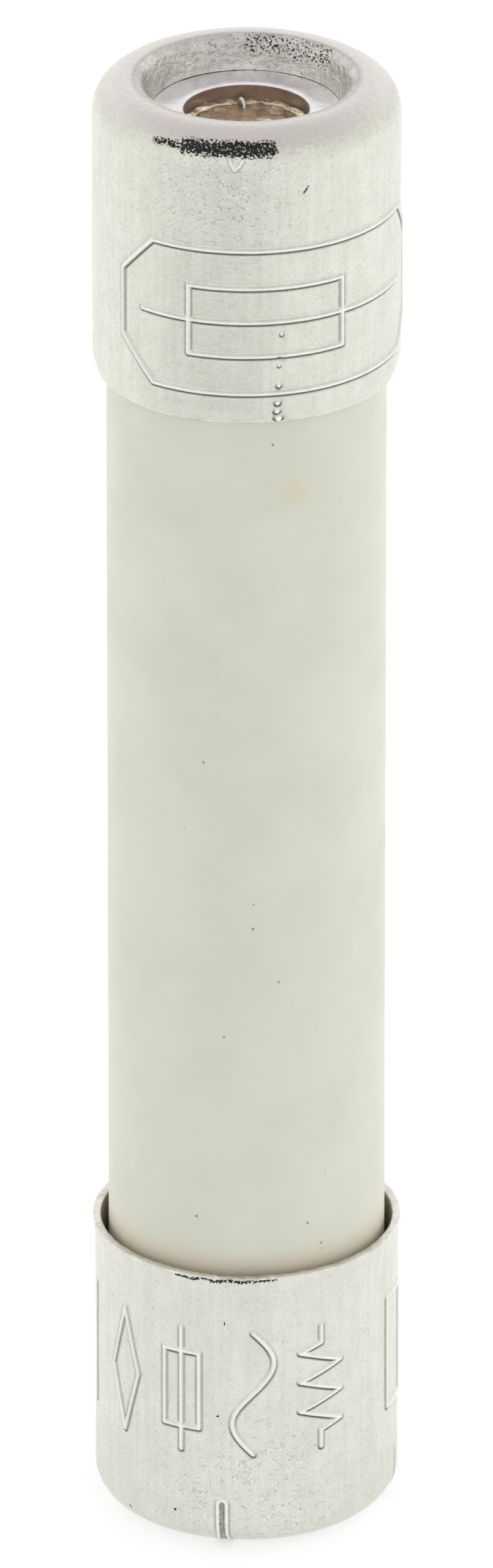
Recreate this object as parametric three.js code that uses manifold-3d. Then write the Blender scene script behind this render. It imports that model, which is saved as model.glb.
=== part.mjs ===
// Miniature cartridge fuse: a ceramic tube full of quartz sand, closed at each end by a contact
// ring and a drawn metal cap, with one fuse wire soldered from ring to ring.
// Millimetres, +Z up. The fuse's axis is the Z axis, and it stands on its lower cap at Z = 0.
import * as THREE from "three";
import { mergeVertices } from "three/addons/utils/BufferGeometryUtils.js";
import Module from "manifold-3d";

const wasm = await Module();
wasm.setup();

// Whole fuse
const overallLength = 32;

// Ceramic tube
const tubeDiameter = 5.73;
const tubeBore = 4;
const tubeEdgeRadius = 0.12;

// End caps: cups of thin sheet whose ends are rolled inwards into a lip
const capGap = 0.105; // between tube and cap, all round
const capWall = 0.18;
const capLength = 6.35;
const capCornerRadius = 0.72;
const capCrestFlat = 0.1; // width of the flat ring on the lip, which the fuse stands on
const lipRadius = 0.24;
const lipTurn = THREE.MathUtils.degToRad(70);
const recessDepth = 0.68; // from the lip's crest down to the contact ring
const mouthRun = 0.4; // length of cap that is bent inwards or outwards at the mouth
const upperMouthBend = -0.085;
const lowerMouthBend = 0.05;

// Slits across the corner of the lower cap
const slitCount = 4;
const slitWidth = 0.17;
const slitLength = 1;
const slitReach = 0.6; // how far in from the outside of the cap
const slitAngle = THREE.MathUtils.degToRad(9.3); // of the first slit, from the Y axis

// Contact rings
const ringThickness = 0.5;
const ringHole = 2.54;
const ringEdgeRadius = 0.04;
const ringInset = 0.05; // the ring's rim lies this far inside the tube's

// Solder and flux in the hole of each ring
const solderDepth = 0.46; // from the ring's face down to the solder
const solderUnderRing = 0.4;
const solderRound = 0.12;
const fluxThickness = 0.055;
const meniscusHeight = 0.08;
const meniscusWidth = 0.24;

// Sealing washers and sand
const washerThickness = 0.35;
const washerGap = 0.05; // between washer and bore, and between washer and solder
const washerEdgeRadius = 0.04;

// Fuse wire
const wireDiameter = 0.1;
const wireSides = 4; // half the number of sides
const wireStepsPerPoint = 3;

// Fits
const seatGap = 0.01; // between faces that press on each other
const wireGap = 0.03; // between the wire and what it passes through

const roundSteps = 40;
const cornerSteps = 5;
const edgeSteps = 2;

// Sizes that follow from the driving ones
const tubeRadius = tubeDiameter / 2;
const capRadius = tubeRadius + capGap + capWall;
const holeRadius = ringHole / 2;
const boreRadius = tubeBore / 2;
const wirewayRadius = wireDiameter / 2 + wireGap;
const ringFace = -recessDepth; // heights at an end are measured inwards from the lip's crest
const ringBack = ringFace - ringThickness;
const solderFace = ringFace - solderDepth;
const solderBack = ringBack - solderUnderRing;
const washerFace = solderBack - washerGap;
const washerBack = washerFace - washerThickness;
const sandFace = washerBack - seatGap;
const tubeEnd = ringBack - seatGap;

const finishes = {
  ceramic: new THREE.MeshStandardMaterial({ color: 0xd2d3c6, roughness: 0.75, metalness: 0 }),
  plating: new THREE.MeshStandardMaterial({ color: 0xd9dacf, roughness: 0.28, metalness: 1 }),
  silvered: new THREE.MeshStandardMaterial({ color: 0xe2e2e4, roughness: 0.22, metalness: 1 }),
  solder: new THREE.MeshStandardMaterial({ color: 0xa5705a, roughness: 0.35, metalness: 1 }),
  flux: new THREE.MeshStandardMaterial({ color: 0x8f6a3f, roughness: 0.15, metalness: 0 }),
  fibre: new THREE.MeshStandardMaterial({ color: 0xb9a98a, roughness: 0.95, metalness: 0 }),
  sand: new THREE.MeshStandardMaterial({ color: 0xe0d9c8, roughness: 0.95, metalness: 0 }),
  wire: new THREE.MeshStandardMaterial({ color: 0xc9c4bc, roughness: 0.3, metalness: 1 }),
};

// Points on an arc in the plane of a profile, from one angle to another.
function arc(centreR, centreZ, radius, from, to, steps) {
  return Array.from({ length: steps + 1 }, (_, i) => {
    const angle = from + ((to - from) * i) / steps;
    return new THREE.Vector2(
      centreR + radius * Math.cos(angle),
      centreZ + radius * Math.sin(angle),
    );
  });
}

// Turns a profile of radius and height, counter-clockwise and without its last side, about Z.
// A profile that leaves the axis and comes back to it is solid in the middle.
function revolve(profile) {
  const first = profile[0];
  const last = profile[profile.length - 1];
  const onAxis = first.x === 0 && last.x === 0;
  const outline = onAxis ? profile : [...profile, first.clone()];
  const geometry = new THREE.LatheGeometry(outline, roundSteps);
  return geometry.rotateX(Math.PI / 2);
}

// Profile of a solid round bar between two heights, its edges rounded.
function barProfile(radius, low, high, edge) {
  const quarter = Math.PI / 2;
  return [
    new THREE.Vector2(0, low),
    ...arc(radius - edge, low + edge, edge, -quarter, 0, edgeSteps),
    ...arc(radius - edge, high - edge, edge, 0, quarter, edgeSteps),
    new THREE.Vector2(0, high),
  ];
}

// Profile of a tube between two heights, its edges rounded inside and outside.
function tubeProfile(inner, outer, low, high, edge) {
  const quarter = Math.PI / 2;
  return [
    ...arc(inner + edge, low + edge, edge, -2 * quarter, -quarter, edgeSteps),
    ...arc(outer - edge, low + edge, edge, -quarter, 0, edgeSteps),
    ...arc(outer - edge, high - edge, edge, 0, quarter, edgeSteps),
    ...arc(inner + edge, high - edge, edge, quarter, 2 * quarter, edgeSteps),
  ];
}

function toSolid(geometry) {
  const bare = geometry.clone();
  bare.deleteAttribute("normal");
  bare.deleteAttribute("uv");
  const merged = mergeVertices(bare, 1e-4);
  return new wasm.Manifold(
    new wasm.Mesh({
      numProp: 3,
      vertProperties: merged.attributes.position.array,
      triVerts: new Uint32Array(merged.index.array),
    }),
  );
}

function toGeometry(solid) {
  const { numProp, vertProperties, triVerts } = solid.getMesh();
  const count = vertProperties.length / numProp;
  const positions = new Float32Array(count * 3);
  for (let i = 0; i < count; i += 1) {
    positions.set(vertProperties.subarray(i * numProp, i * numProp + 3), i * 3);
  }
  const geometry = new THREE.BufferGeometry();
  geometry.setAttribute("position", new THREE.BufferAttribute(positions, 3));
  geometry.setIndex(new THREE.BufferAttribute(new Uint32Array(triVerts), 1));
  geometry.computeVertexNormals();
  return geometry;
}

function cutBy(geometry, tools) {
  const cut = tools.reduce((rest, tool) => rest.subtract(toSolid(tool)), toSolid(geometry));
  return toGeometry(cut);
}

function named(name, geometry, material) {
  const mesh = new THREE.Mesh(geometry, material);
  mesh.name = name;
  return mesh;
}

// The cap's sheet: its outside runs from the mouth over the lip and down to the contact ring,
// and its inside is the same line, one wall further in.
function capGeometry(mouthBend) {
  const quarter = Math.PI / 2;
  const crestRadius = capRadius - capCornerRadius;
  const rollRadius = crestRadius - capCrestFlat;
  const turned = quarter + lipTurn;
  const seat = ringFace + seatGap;
  const corner = (radius) =>
    arc(crestRadius, -capCornerRadius, radius, 0, quarter, cornerSteps);
  const roll = (radius) =>
    arc(rollRadius, -lipRadius, radius, quarter, turned, cornerSteps - 1);
  const throat = roll(lipRadius).pop();
  const throatDrop = throat.y - seat;
  const throatRadius = throat.x - throatDrop / Math.tan(lipTurn);
  const outside = [
    new THREE.Vector2(capRadius + mouthBend, -capLength),
    new THREE.Vector2(capRadius, -capLength + mouthRun),
    ...corner(capCornerRadius),
    ...roll(lipRadius),
    new THREE.Vector2(throatRadius, seat),
  ];
  const inside = [
    new THREE.Vector2(capRadius + mouthBend - capWall, -capLength),
    new THREE.Vector2(capRadius - capWall, -capLength + mouthRun),
    ...corner(capCornerRadius - capWall),
    ...roll(lipRadius - capWall),
    new THREE.Vector2(throatRadius + capWall, seat),
  ];
  return revolve([...outside, ...inside.reverse()]);
}

// One slit's cutter: a slot with a round end, pushed through the wall along the cap's radius.
function slitCutter(angle) {
  const half = slitWidth / 2;
  const roundEnd = -slitLength + half;
  const slot = new THREE.Shape();
  slot.moveTo(half, half);
  slot.lineTo(-half, half);
  slot.lineTo(-half, roundEnd);
  slot.absarc(0, roundEnd, half, Math.PI, 2 * Math.PI, false);
  slot.closePath();
  const cutter = new THREE.ExtrudeGeometry(slot, {
    depth: slitReach + capWall,
    bevelEnabled: false,
    curveSegments: 4,
  });
  return cutter
    .rotateX(Math.PI / 2)
    .translate(0, capRadius + capWall, 0)
    .rotateZ(angle);
}

function slitCapGeometry(mouthBend) {
  const cutters = Array.from({ length: slitCount }, (_, i) =>
    slitCutter(slitAngle + (2 * Math.PI * i) / slitCount),
  );
  return cutBy(capGeometry(mouthBend), cutters);
}

function contactRingGeometry() {
  const rim = tubeRadius - ringInset;
  return revolve(tubeProfile(holeRadius, rim, ringBack, ringFace, ringEdgeRadius));
}

// Solder fills the bottom of the ring's hole and spreads a little behind the ring.
function solderGeometry() {
  const neck = holeRadius - seatGap;
  const spread = (holeRadius + boreRadius) / 2;
  const shoulder = ringBack - seatGap;
  return revolve([
    new THREE.Vector2(0, solderBack),
    ...arc(spread - solderRound, solderBack + solderRound, solderRound, -Math.PI / 2, 0, edgeSteps),
    new THREE.Vector2(spread, shoulder),
    new THREE.Vector2(neck, shoulder),
    new THREE.Vector2(neck, solderFace),
    new THREE.Vector2(0, solderFace),
  ]);
}

// Flux lies on the solder and climbs the wall of the ring's hole a little.
function fluxGeometry() {
  const low = solderFace + seatGap;
  const high = low + fluxThickness;
  const rim = holeRadius - seatGap;
  return revolve([
    new THREE.Vector2(0, low),
    new THREE.Vector2(rim, low),
    new THREE.Vector2(rim, high + meniscusHeight),
    new THREE.Vector2(rim - meniscusWidth / 3, high + meniscusHeight / 3),
    new THREE.Vector2(rim - meniscusWidth, high),
    new THREE.Vector2(0, high),
  ]);
}

function washerGeometry() {
  const radius = boreRadius - washerGap;
  return revolve(barProfile(radius, washerBack, washerFace, washerEdgeRadius));
}

function tubeGeometry() {
  const low = -tubeEnd;
  const high = overallLength + tubeEnd;
  return revolve(tubeProfile(boreRadius, tubeRadius, low, high, tubeEdgeRadius));
}

// The wire runs straight through the sand, so its way through is round.
function sandGeometry() {
  const low = -sandFace;
  const high = overallLength + sandFace;
  const rim = boreRadius - seatGap;
  return revolve(tubeProfile(wirewayRadius, rim, low, high, washerEdgeRadius));
}

// A curve whose steps are shared out by its points, so that the small hooks at its ends get as
// many as the long straight stretch between them.
class WirePath extends THREE.CatmullRomCurve3 {
  getUtoTmapping(u) {
    return u;
  }
}

// The wire's way through one end, from the sand to its hooked tip, measured from the crest.
const hookPoints = [
  [0, 0, sandFace - 1.5],
  [0, 0, sandFace],
  [0, 0, washerFace],
  [0, 0.08, solderBack + 0.06],
  [0, 0.36, solderBack + 0.18],
  [-0.02, 0.7, solderFace - 0.14],
  [-0.04, 0.88, solderFace + 0.01],
  [-0.06, 0.95, solderFace + 0.14],
  [-0.11, 1.03, solderFace + 0.2],
  [-0.16, 1.1, solderFace + 0.12],
];

const wirePoints = [
  ...hookPoints.map(([x, y, z]) => new THREE.Vector3(x, -y, -z)).reverse(),
  ...hookPoints.map(([x, y, z]) => new THREE.Vector3(x, y, overallLength + z)),
];

function wireGeometry(radius) {
  const section = new THREE.Shape().absarc(0, 0, radius, 0, 2 * Math.PI, false);
  return new THREE.ExtrudeGeometry(section, {
    steps: (wirePoints.length - 1) * wireStepsPerPoint,
    curveSegments: wireSides,
    extrudePath: new WirePath(wirePoints, false, "centripetal"),
  });
}

// One end's pieces in a group of their own, with the crest of its cap at the group's origin.
function endGroup(prefix, cap) {
  const group = new THREE.Group();
  group.add(
    named(prefix + "_end_cap", cap, finishes.plating.clone()),
    named(prefix + "_contact_ring", contactRingGeometry(), finishes.silvered.clone()),
    named(prefix + "_solder_joint", solderGeometry(), finishes.solder.clone()),
    named(prefix + "_flux_residue", fluxGeometry(), finishes.flux.clone()),
    named(prefix + "_sealing_washer", washerGeometry(), finishes.fibre.clone()),
  );
  return group;
}

const upperEnd = endGroup("upper", capGeometry(upperMouthBend));
upperEnd.position.z = overallLength;

const lowerEnd = endGroup("lower", slitCapGeometry(lowerMouthBend));
lowerEnd.rotation.x = Math.PI;

// The end pieces that the wire bends its way through are cut with a slightly thicker wire.
const wireway = wireGeometry(wirewayRadius);
for (const end of [upperEnd, lowerEnd]) {
  end.updateMatrixWorld(true);
  const local = wireway.clone().applyMatrix4(end.matrixWorld.clone().invert());
  const pierced = end.children.filter((mesh) => /solder|flux|washer/.test(mesh.name));
  for (const mesh of pierced) {
    mesh.geometry = cutBy(mesh.geometry, [local]);
  }
}

const fuse = new THREE.Group();
fuse.add(
  named("ceramic_tube", tubeGeometry(), finishes.ceramic),
  named("sand_filling", sandGeometry(), finishes.sand),
  named("fuse_wire", wireGeometry(wireDiameter / 2), finishes.wire),
  upperEnd,
  lowerEnd,
);

export default fuse;
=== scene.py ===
"""Finish of a miniature cartridge fuse: a ceramic tube closed by two pressed metal caps.

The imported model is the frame. Everything here is in metres and stands in that frame, with
the fuse's axis along Z and its lower cap on the floor. Sizes of the fuse's own details are
written in millimetres and turned into metres as the meshes are made.
"""

import logging
import math
from collections.abc import Callable, Sequence
from dataclasses import dataclass, field, replace
from enum import Enum, IntEnum

import bpy
import numpy as np
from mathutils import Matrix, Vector, noise


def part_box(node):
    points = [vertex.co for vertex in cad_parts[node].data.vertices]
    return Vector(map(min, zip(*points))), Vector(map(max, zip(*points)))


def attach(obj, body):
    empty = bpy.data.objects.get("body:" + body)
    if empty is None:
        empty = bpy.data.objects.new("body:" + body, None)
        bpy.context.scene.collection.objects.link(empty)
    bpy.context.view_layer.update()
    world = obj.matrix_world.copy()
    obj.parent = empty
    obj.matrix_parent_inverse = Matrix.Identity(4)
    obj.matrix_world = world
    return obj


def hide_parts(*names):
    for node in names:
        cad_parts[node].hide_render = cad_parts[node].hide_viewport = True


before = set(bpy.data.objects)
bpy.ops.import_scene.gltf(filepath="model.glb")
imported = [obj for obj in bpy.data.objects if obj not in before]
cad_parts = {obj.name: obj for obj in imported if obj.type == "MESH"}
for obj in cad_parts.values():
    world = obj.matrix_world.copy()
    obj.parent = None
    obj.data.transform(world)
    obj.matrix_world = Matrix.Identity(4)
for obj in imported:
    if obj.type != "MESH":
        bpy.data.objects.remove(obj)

MM = 0.001
BODY = "root"
QUARTER = math.pi / 2
# Mesh attribute with real stains, and with painted shade and painted reflections on some marks.
STAIN_AND_SHADE = "stain_and_shade"
# Mesh attribute with painted shade along the marks' sides, negative for painted highlights on
# their crests.
PAINTED_SHADING = "painted_shading"
# Levels of the wrinkle noise at which painted crease shade and painted highlight lines are drawn,
# and their strength.
FOLD_LEVELS = (0.43, 0.46)
FOLD_SHARE = 0.75

Point = tuple[float, float]
Colour = tuple[float, float, float]

log = logging.getLogger("fuse")


class End(Enum):
    """One of the fuse's two ends, by the first word of its pieces' names."""

    UPPER = "upper"
    LOWER = "lower"

    @property
    def crest(self) -> float:
        """Height of the cap's crest, in millimetres."""
        low, high = box_mm(self.node("end_cap"))
        return high.z if self is End.UPPER else low.z

    def node(self, piece: str) -> str:
        """Names the CAD node of a piece at this end."""
        return f"{self.value}_{piece}"

    def height(self, depth: float) -> float:
        """Gives the height of a level that lies some depth in from the crest."""
        return self.crest - depth if self is End.UPPER else self.crest + depth

    def placed(self, point: Vector) -> Vector:
        """Moves a point given at the upper crest, z negative inwards, to this end.

        Args:
            point: The point as it lies at the upper end.

        Returns:
            The same point at this end.
        """
        if self is End.UPPER:
            return Vector((point.x, point.y, self.height(-point.z)))
        return Vector((point.x, -point.y, self.height(-point.z)))


class Zone(IntEnum):
    """Part of a turned surface, which is also the slot of its material."""

    OUTSIDE = 0
    INSIDE = 1
    EDGE = 2


def box_mm(node: str) -> tuple[Vector, Vector]:
    """Gives a node's lowest and highest corners in millimetres.

    Args:
        node: Name of the node.

    Returns:
        The two corners.
    """
    low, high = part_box(node)
    return Vector(low) / MM, Vector(high) / MM


def half_width(node: str) -> float:
    """Gives half of a node's width, in millimetres."""
    low, high = box_mm(node)
    return (high.x - low.x) / 2


def arc(centre: Point, radius: float, start: float, end: float, steps: int) -> list[Point]:
    """Lays points along an arc.

    Args:
        centre: Centre of the arc.
        radius: Its radius.
        start: First angle, in radians.
        end: Last angle, in radians.
        steps: Number of steps between them.

    Returns:
        The points, one more than the steps.
    """
    angles = [start + (end - start) * i / steps for i in range(steps + 1)]
    return [
        (centre[0] + radius * math.cos(a), centre[1] + radius * math.sin(a)) for a in angles
    ]


def line(start: Point, end: Point, step: float) -> list[Point]:
    """Lays points along a straight line, both of its ends among them.

    Args:
        start: First point.
        end: Last point.
        step: Longest step between points.

    Returns:
        The points.
    """
    count = max(1, math.ceil(math.dist(start, end) / step))
    return [
        (
            start[0] + (end[0] - start[0]) * i / count,
            start[1] + (end[1] - start[1]) * i / count,
        )
        for i in range(count + 1)
    ]


def clouds(points: np.ndarray, size: float, seed: float) -> np.ndarray:
    """Samples smooth noise at points.

    Args:
        points: Array of positions, one row each, in millimetres.
        size: Size of the noise's lumps, in millimetres.
        seed: Offset that picks another stretch of the noise.

    Returns:
        One value from about -1 to 1 for each point.
    """
    shift = Vector((seed, seed * 1.7, seed * 0.3))
    return np.array([noise.noise(Vector(p) / size + shift) for p in points])


def rising(values: np.ndarray, low: float, high: float) -> np.ndarray:
    """Rises smoothly from 0 at one value to 1 at another.

    Args:
        values: Values to look up.
        low: Value at which it is 0.
        high: Value at which it is 1.

    Returns:
        A number from 0 to 1 for each value.
    """
    share = np.clip((values - low) / (high - low), 0, 1)
    return share * share * (3 - 2 * share)


# Pressed marks --------------------------------------------------------------------------


@dataclass(frozen=True)
class Section:
    """Cross-section of a mark in sheet or ceramic, across its length.

    Attributes:
        width: Half width of the mark, in millimetres.
        rise: Height of its middle, negative for a groove or pit.
        foot: Height along its two sides, negative where the metal was drawn from.
        stain_and_shade: How dark its middle is, from 0 to 1. Some marks use it for real stains,
            others for painted shade and painted reflections.
        painted_shading: How dark the painted shade along its lower side is, from 0 to 1. The
            upper side gets less of it.
        painted_highlight: How bright the painted highlight along its middle is, from 0 to 1.
    """

    width: float
    rise: float
    foot: float = 0.0
    stain_and_shade: float = 0.0
    painted_shading: float = 0.0
    painted_highlight: float = 0.0

    @property
    def reach(self) -> float:
        """Distance from the middle at which the surface is plain again."""
        return self.width * (3.0 if self.foot or self.painted_shading else 1.6)

    def shape(
        self, distance: np.ndarray, lean: np.ndarray
    ) -> tuple[np.ndarray, np.ndarray, np.ndarray]:
        """Gives the mark's height, stain, and painted shade and highlight at distances from its
        middle.

        Args:
            distance: Distances, in millimetres.
            lean: 1 straight below the middle, -1 straight above it.

        Returns:
            Height, stain from 0 to 1, and painted shade on its sides from 0 to 1, negative for a
            painted highlight in its middle.
        """
        across = distance / self.width
        middle = np.exp(-1.3 * across**2)
        sides = np.exp(-3.0 * (across - 1.6) ** 2)
        flank = np.exp(-3.5 * (across - 1.3) ** 2) * (0.5 + 0.5 * lean)
        return (
            self.rise * middle + self.foot * sides,
            self.stain_and_shade * np.exp(-1.3 * across**4),
            self.painted_shading * flank - self.painted_highlight * middle,
        )


@dataclass(frozen=True)
class Mark:
    """Lines on the unrolled outside of a turned piece, with their cross-section.

    Attributes:
        lines: Lines of points, each the distance round the piece and along it.
        section: Cross-section of the lines.
    """

    lines: Sequence[Sequence[Point]]
    section: Section

    def distance(
        self, around: np.ndarray, along: np.ndarray, turn: float
    ) -> tuple[np.ndarray, np.ndarray]:
        """Measures how far points lie from the nearest line.

        Args:
            around: Distance of each point round the piece.
            along: Distance of each point along it.
            turn: Distance once round the piece.

        Returns:
            Distance from each point to the nearest part of a line, and how much of it
            is along the piece, from -1 to 1.
        """
        nearest = np.full(around.shape, np.inf)
        lean = np.zeros(around.shape)
        for points in self.lines:
            ends = points[1:] if len(points) > 1 else points
            for (u0, v0), (u1, v1) in zip(points, ends):
                du, dv = u1 - u0, v1 - v0
                pu = (around - u0 + turn / 2) % turn - turn / 2
                pv = along - v0
                length = du * du + dv * dv
                share = np.clip((pu * du + pv * dv) / length, 0, 1) if length else 0.0
                beyond = pv - share * dv
                gap = np.hypot(pu - share * du, beyond)
                lean = np.where(gap < nearest, beyond / np.maximum(gap, 1e-9), lean)
                nearest = np.minimum(nearest, gap)
        return nearest, lean


def plate(centre: Point, width: float, height: float, chamfer: float = 0.0) -> list[Point]:
    """Draws a closed rectangle, with its corners cut off if a chamfer is given.

    Args:
        centre: Its centre.
        width: Its width.
        height: Its height.
        chamfer: Length cut off each side at a corner.

    Returns:
        Points round it, the first repeated at the end.
    """
    across, up = width / 2, height / 2
    points = []
    for x, y in ((across, up), (-across, up), (-across, -up), (across, -up)):
        level = (x, y - math.copysign(chamfer, y))
        upright = (x - math.copysign(chamfer, x), y)
        pair = (level, upright) if x * y > 0 else (upright, level)
        points += [(centre[0] + u, centre[1] + v) for u, v in dict.fromkeys(pair)]
    return [*points, points[0]]


def diamond(centre: Point, width: float, height: float) -> list[Point]:
    """Draws a closed diamond.

    Args:
        centre: Its centre.
        width: Its width.
        height: Its height.

    Returns:
        Points round it, the first repeated at the end.
    """
    u, v = centre
    right = (u + width / 2, v)
    return [right, (u, v + height / 2), (u - width / 2, v), (u, v - height / 2), right]


def zigzag(centre: Point, width: float, height: float, teeth: int) -> list[Point]:
    """Draws an upright zigzag, as a resistor's sign.

    Args:
        centre: Its centre.
        width: Width of its teeth.
        height: Its height.
        teeth: Number of teeth.

    Returns:
        Points along it.
    """
    low = centre[1] - height / 2
    lead = height * 0.14
    step = (height - 2 * lead) / teeth
    zig = [
        (centre[0] + width / 2 * (1 if i % 2 else -1), low + lead + step * (i + 0.5))
        for i in range(teeth)
    ]
    return [
        (centre[0], low),
        (centre[0], low + lead),
        *zig,
        (centre[0], low + height - lead),
        (centre[0], low + height),
    ]


def wave(centre: Point, width: float, height: float) -> list[Point]:
    """Draws one full upright wave, the sign for alternating current set on end.

    Args:
        centre: Its centre.
        width: Width from crest to crest.
        height: Its height.

    Returns:
        Points along it.
    """
    steps = 22
    return [
        (
            centre[0] + width / 2 * math.sin(2 * math.pi * i / steps),
            centre[1] + height * (i / steps - 0.5),
        )
        for i in range(steps + 1)
    ]


# Turned meshes --------------------------------------------------------------------------


@dataclass
class Outline:
    """Profile of a turned piece, in radius and height, with what each stretch of it is.

    Attributes:
        points: Points of the profile.
        zones: Zone of the stretch that follows each point.
        along: Distance along the marked surface at each point, or NaN off that surface.
    """

    points: list[Point] = field(default_factory=list)
    zones: list[Zone] = field(default_factory=list)
    along: list[float] = field(default_factory=list)

    def add(self, points: Sequence[Point], zone: Zone, start: float = math.nan) -> float:
        """Adds a stretch, leaving out a first point that repeats the last one.

        Args:
            points: Its points.
            zone: What it is.
            start: Distance along the marked surface at its first point, if it is marked.

        Returns:
            Distance along the marked surface at its last point.
        """
        for i, point in enumerate(points):
            if i:
                start += math.dist(points[i - 1], point)
            if self.points and math.dist(self.points[-1], point) < 1e-6:
                self.zones[-1], self.along[-1] = zone, start
                continue
            self.points.append(point)
            self.zones.append(zone)
            self.along.append(start)
        return start

    def raised(self, height: Callable[[float], float]) -> "Outline":
        """Gives the same outline with its depths turned into heights.

        Args:
            height: Gives the height for a depth.

        Returns:
            The new outline.
        """
        points = [(radius, height(depth)) for radius, depth in self.points]
        return Outline(points, list(self.zones), list(self.along))


@dataclass
class Patch:
    """Points of a turned surface before they are moved, all in millimetres.

    Attributes:
        angle: Angle of each point round the axis, from the front.
        radius: Its distance from the axis.
        height: Its height.
        along: Its distance along the marked surface, or NaN.
    """

    angle: np.ndarray
    radius: np.ndarray
    height: np.ndarray
    along: np.ndarray

    def positions(self) -> np.ndarray:
        """Gives the points' positions, one row each."""
        x = self.radius * np.sin(self.angle)
        y = -self.radius * np.cos(self.angle)
        return np.stack([x, y, self.height], 1)


Texture = Callable[[Patch], np.ndarray]
Lattice = tuple[int, int]


@dataclass
class Turning:
    """Turns an outline into a closed mesh, with finer cells where it carries marks.

    Attributes:
        outline: The profile, which closes on itself or on the axis.
        columns: Steps round the axis.
        texture: Gives how far each point moves out of the surface.
        marks: Lines whose surroundings get finer cells.
        split: How many times finer those cells are.
        radius: Radius on which the marks are unrolled.
    """

    outline: Outline
    columns: int
    texture: Texture | None = None
    marks: Sequence[Mark] = ()
    split: int = 1
    radius: float = 1.0

    @property
    def on_axis(self) -> bool:
        """Tells whether the outline starts and ends on the axis."""
        return self.outline.points[0][0] == 0

    @property
    def rows(self) -> int:
        """Counts the stretches of the outline."""
        return len(self.outline.points) - int(self.on_axis)

    @property
    def turn(self) -> float:
        """Distance once round the radius that the marks are unrolled on."""
        return 2 * math.pi * self.radius

    @property
    def down(self) -> float:
        """Gives 1 where distances along the marked surface grow downwards, or -1."""
        spots = zip(self.outline.along, self.outline.points)
        heights = [point[1] for along, point in spots if not math.isnan(along)]
        return math.copysign(1, heights[0] - heights[-1])

    @property
    def hand(self) -> float:
        """Gives 1 for an outline that runs counter-clockwise, and -1 for the other."""
        outline = np.array(self.outline.points)
        after = np.roll(outline, -1, 0)
        area = np.sum(outline[:, 0] * after[:, 1] - after[:, 0] * outline[:, 1])
        return float(np.sign(area))

    def place(self, columns: np.ndarray, rows: np.ndarray) -> tuple[Patch, np.ndarray]:
        """Places lattice points on the turned surface.

        Args:
            columns: Column of each point, in steps round the axis.
            rows: Row of each point, in points of the outline.

        Returns:
            The points, and their normals in radius and height.
        """
        outline = np.array(self.outline.points, float)
        along = np.array(self.outline.along, float)
        before, after = np.roll(outline, 1, 0), np.roll(outline, -1, 0)
        if self.on_axis:
            before[0] = outline[0] - (1, 0)
            after[-1] = outline[-1] - (1, 0)
        slope = np.zeros_like(outline)
        for step in (outline - before, after - outline):
            slope += step / np.maximum(np.hypot(*step.T), 1e-9)[:, None]
        normals = np.stack([slope[:, 1], -slope[:, 0]], 1) * self.hand
        normals /= np.maximum(np.hypot(*normals.T), 1e-9)[:, None]
        first = np.floor(rows).astype(int) % len(outline)
        share = rows - np.floor(rows)
        second = np.where(share > 0, (first + 1) % len(outline), first)
        share = share[:, None]
        spot = outline[first] * (1 - share) + outline[second] * share
        normal = normals[first] * (1 - share) + normals[second] * share
        marked = along[first] * (1 - share[:, 0]) + along[second] * share[:, 0]
        angle = columns / self.columns * 2 * math.pi - math.pi
        return Patch(angle, spot[:, 0], spot[:, 1], marked), normal

    def fine_cells(self) -> set[Lattice]:
        """Finds the cells that lie near a mark.

        Returns:
            Column and row of each of them.
        """
        grid = np.mgrid[0 : self.columns, 0 : self.rows].reshape(2, -1)
        patch, _ = self.place(grid[0] + 0.5, grid[1] + 0.5)
        near = np.zeros(patch.angle.shape, bool)
        known = ~np.isnan(patch.along)
        slack = 0.6 * self.turn / self.columns
        for mark in self.marks:
            around = patch.angle[known] * self.radius
            distance, _ = mark.distance(around, patch.along[known], self.turn)
            near[known] |= distance < mark.section.reach + slack
        return {(int(i), int(j)) for i, j in grid[:, near].T}

    def lattice(self) -> tuple[list[Lattice], list[list[int]], list[Zone]]:
        """Lays out the lattice.

        Returns:
            The lattice points in use, the faces as lists of their numbers, and each
            face's zone.
        """
        fine = self.fine_cells()
        split, columns, rows = self.split, self.columns, self.rows
        numbers: dict[Lattice, int] = {}
        faces: list[list[int]] = []
        zones: list[Zone] = []

        def number(i: int, j: int) -> int:
            """Numbers a lattice point the first time that it is used.

            Args:
                i: Its place round the axis, counted in fine cells.
                j: Its place along the outline, counted in fine cells.

            Returns:
                Its number.
            """
            i %= columns * split
            if not self.on_axis:
                j %= rows * split
            elif j in (0, rows * split):
                i = 0
            return numbers.setdefault((i, j), len(numbers))

        def side(start: Lattice, end: Lattice, cell: Lattice) -> list[Lattice]:
            """Lists the points on one side of a cell, as fine as the cell beyond it.

            Args:
                start: First corner of the side.
                end: Last corner of the side, which isn't listed.
                cell: The cell beyond the side.

            Returns:
                Points from the first corner on.
            """
            beyond = (cell[0] % columns, cell[1] % rows)
            count = split if beyond in fine else 1
            return [
                (
                    start[0] + (end[0] - start[0]) * k // count,
                    start[1] + (end[1] - start[1]) * k // count,
                )
                for k in range(count)
            ]

        for i in range(columns):
            for j in range(rows):
                left, low = i * split, j * split
                right, high = left + split, low + split
                if (i, j) in fine:
                    loops = [
                        [(a, b), (a + 1, b), (a + 1, b + 1), (a, b + 1)]
                        for a in range(left, right)
                        for b in range(low, high)
                    ]
                else:
                    loops = [
                        side((left, low), (right, low), (i, j - 1))
                        + side((right, low), (right, high), (i + 1, j))
                        + side((right, high), (left, high), (i, j + 1))
                        + side((left, high), (left, low), (i - 1, j))
                    ]
                for loop in loops:
                    face = list(dict.fromkeys(number(a, b) for a, b in loop))
                    if len(face) > 2:
                        faces.append(face)
                        zones.append(self.outline.zones[j])
        return list(numbers), faces, zones

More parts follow.
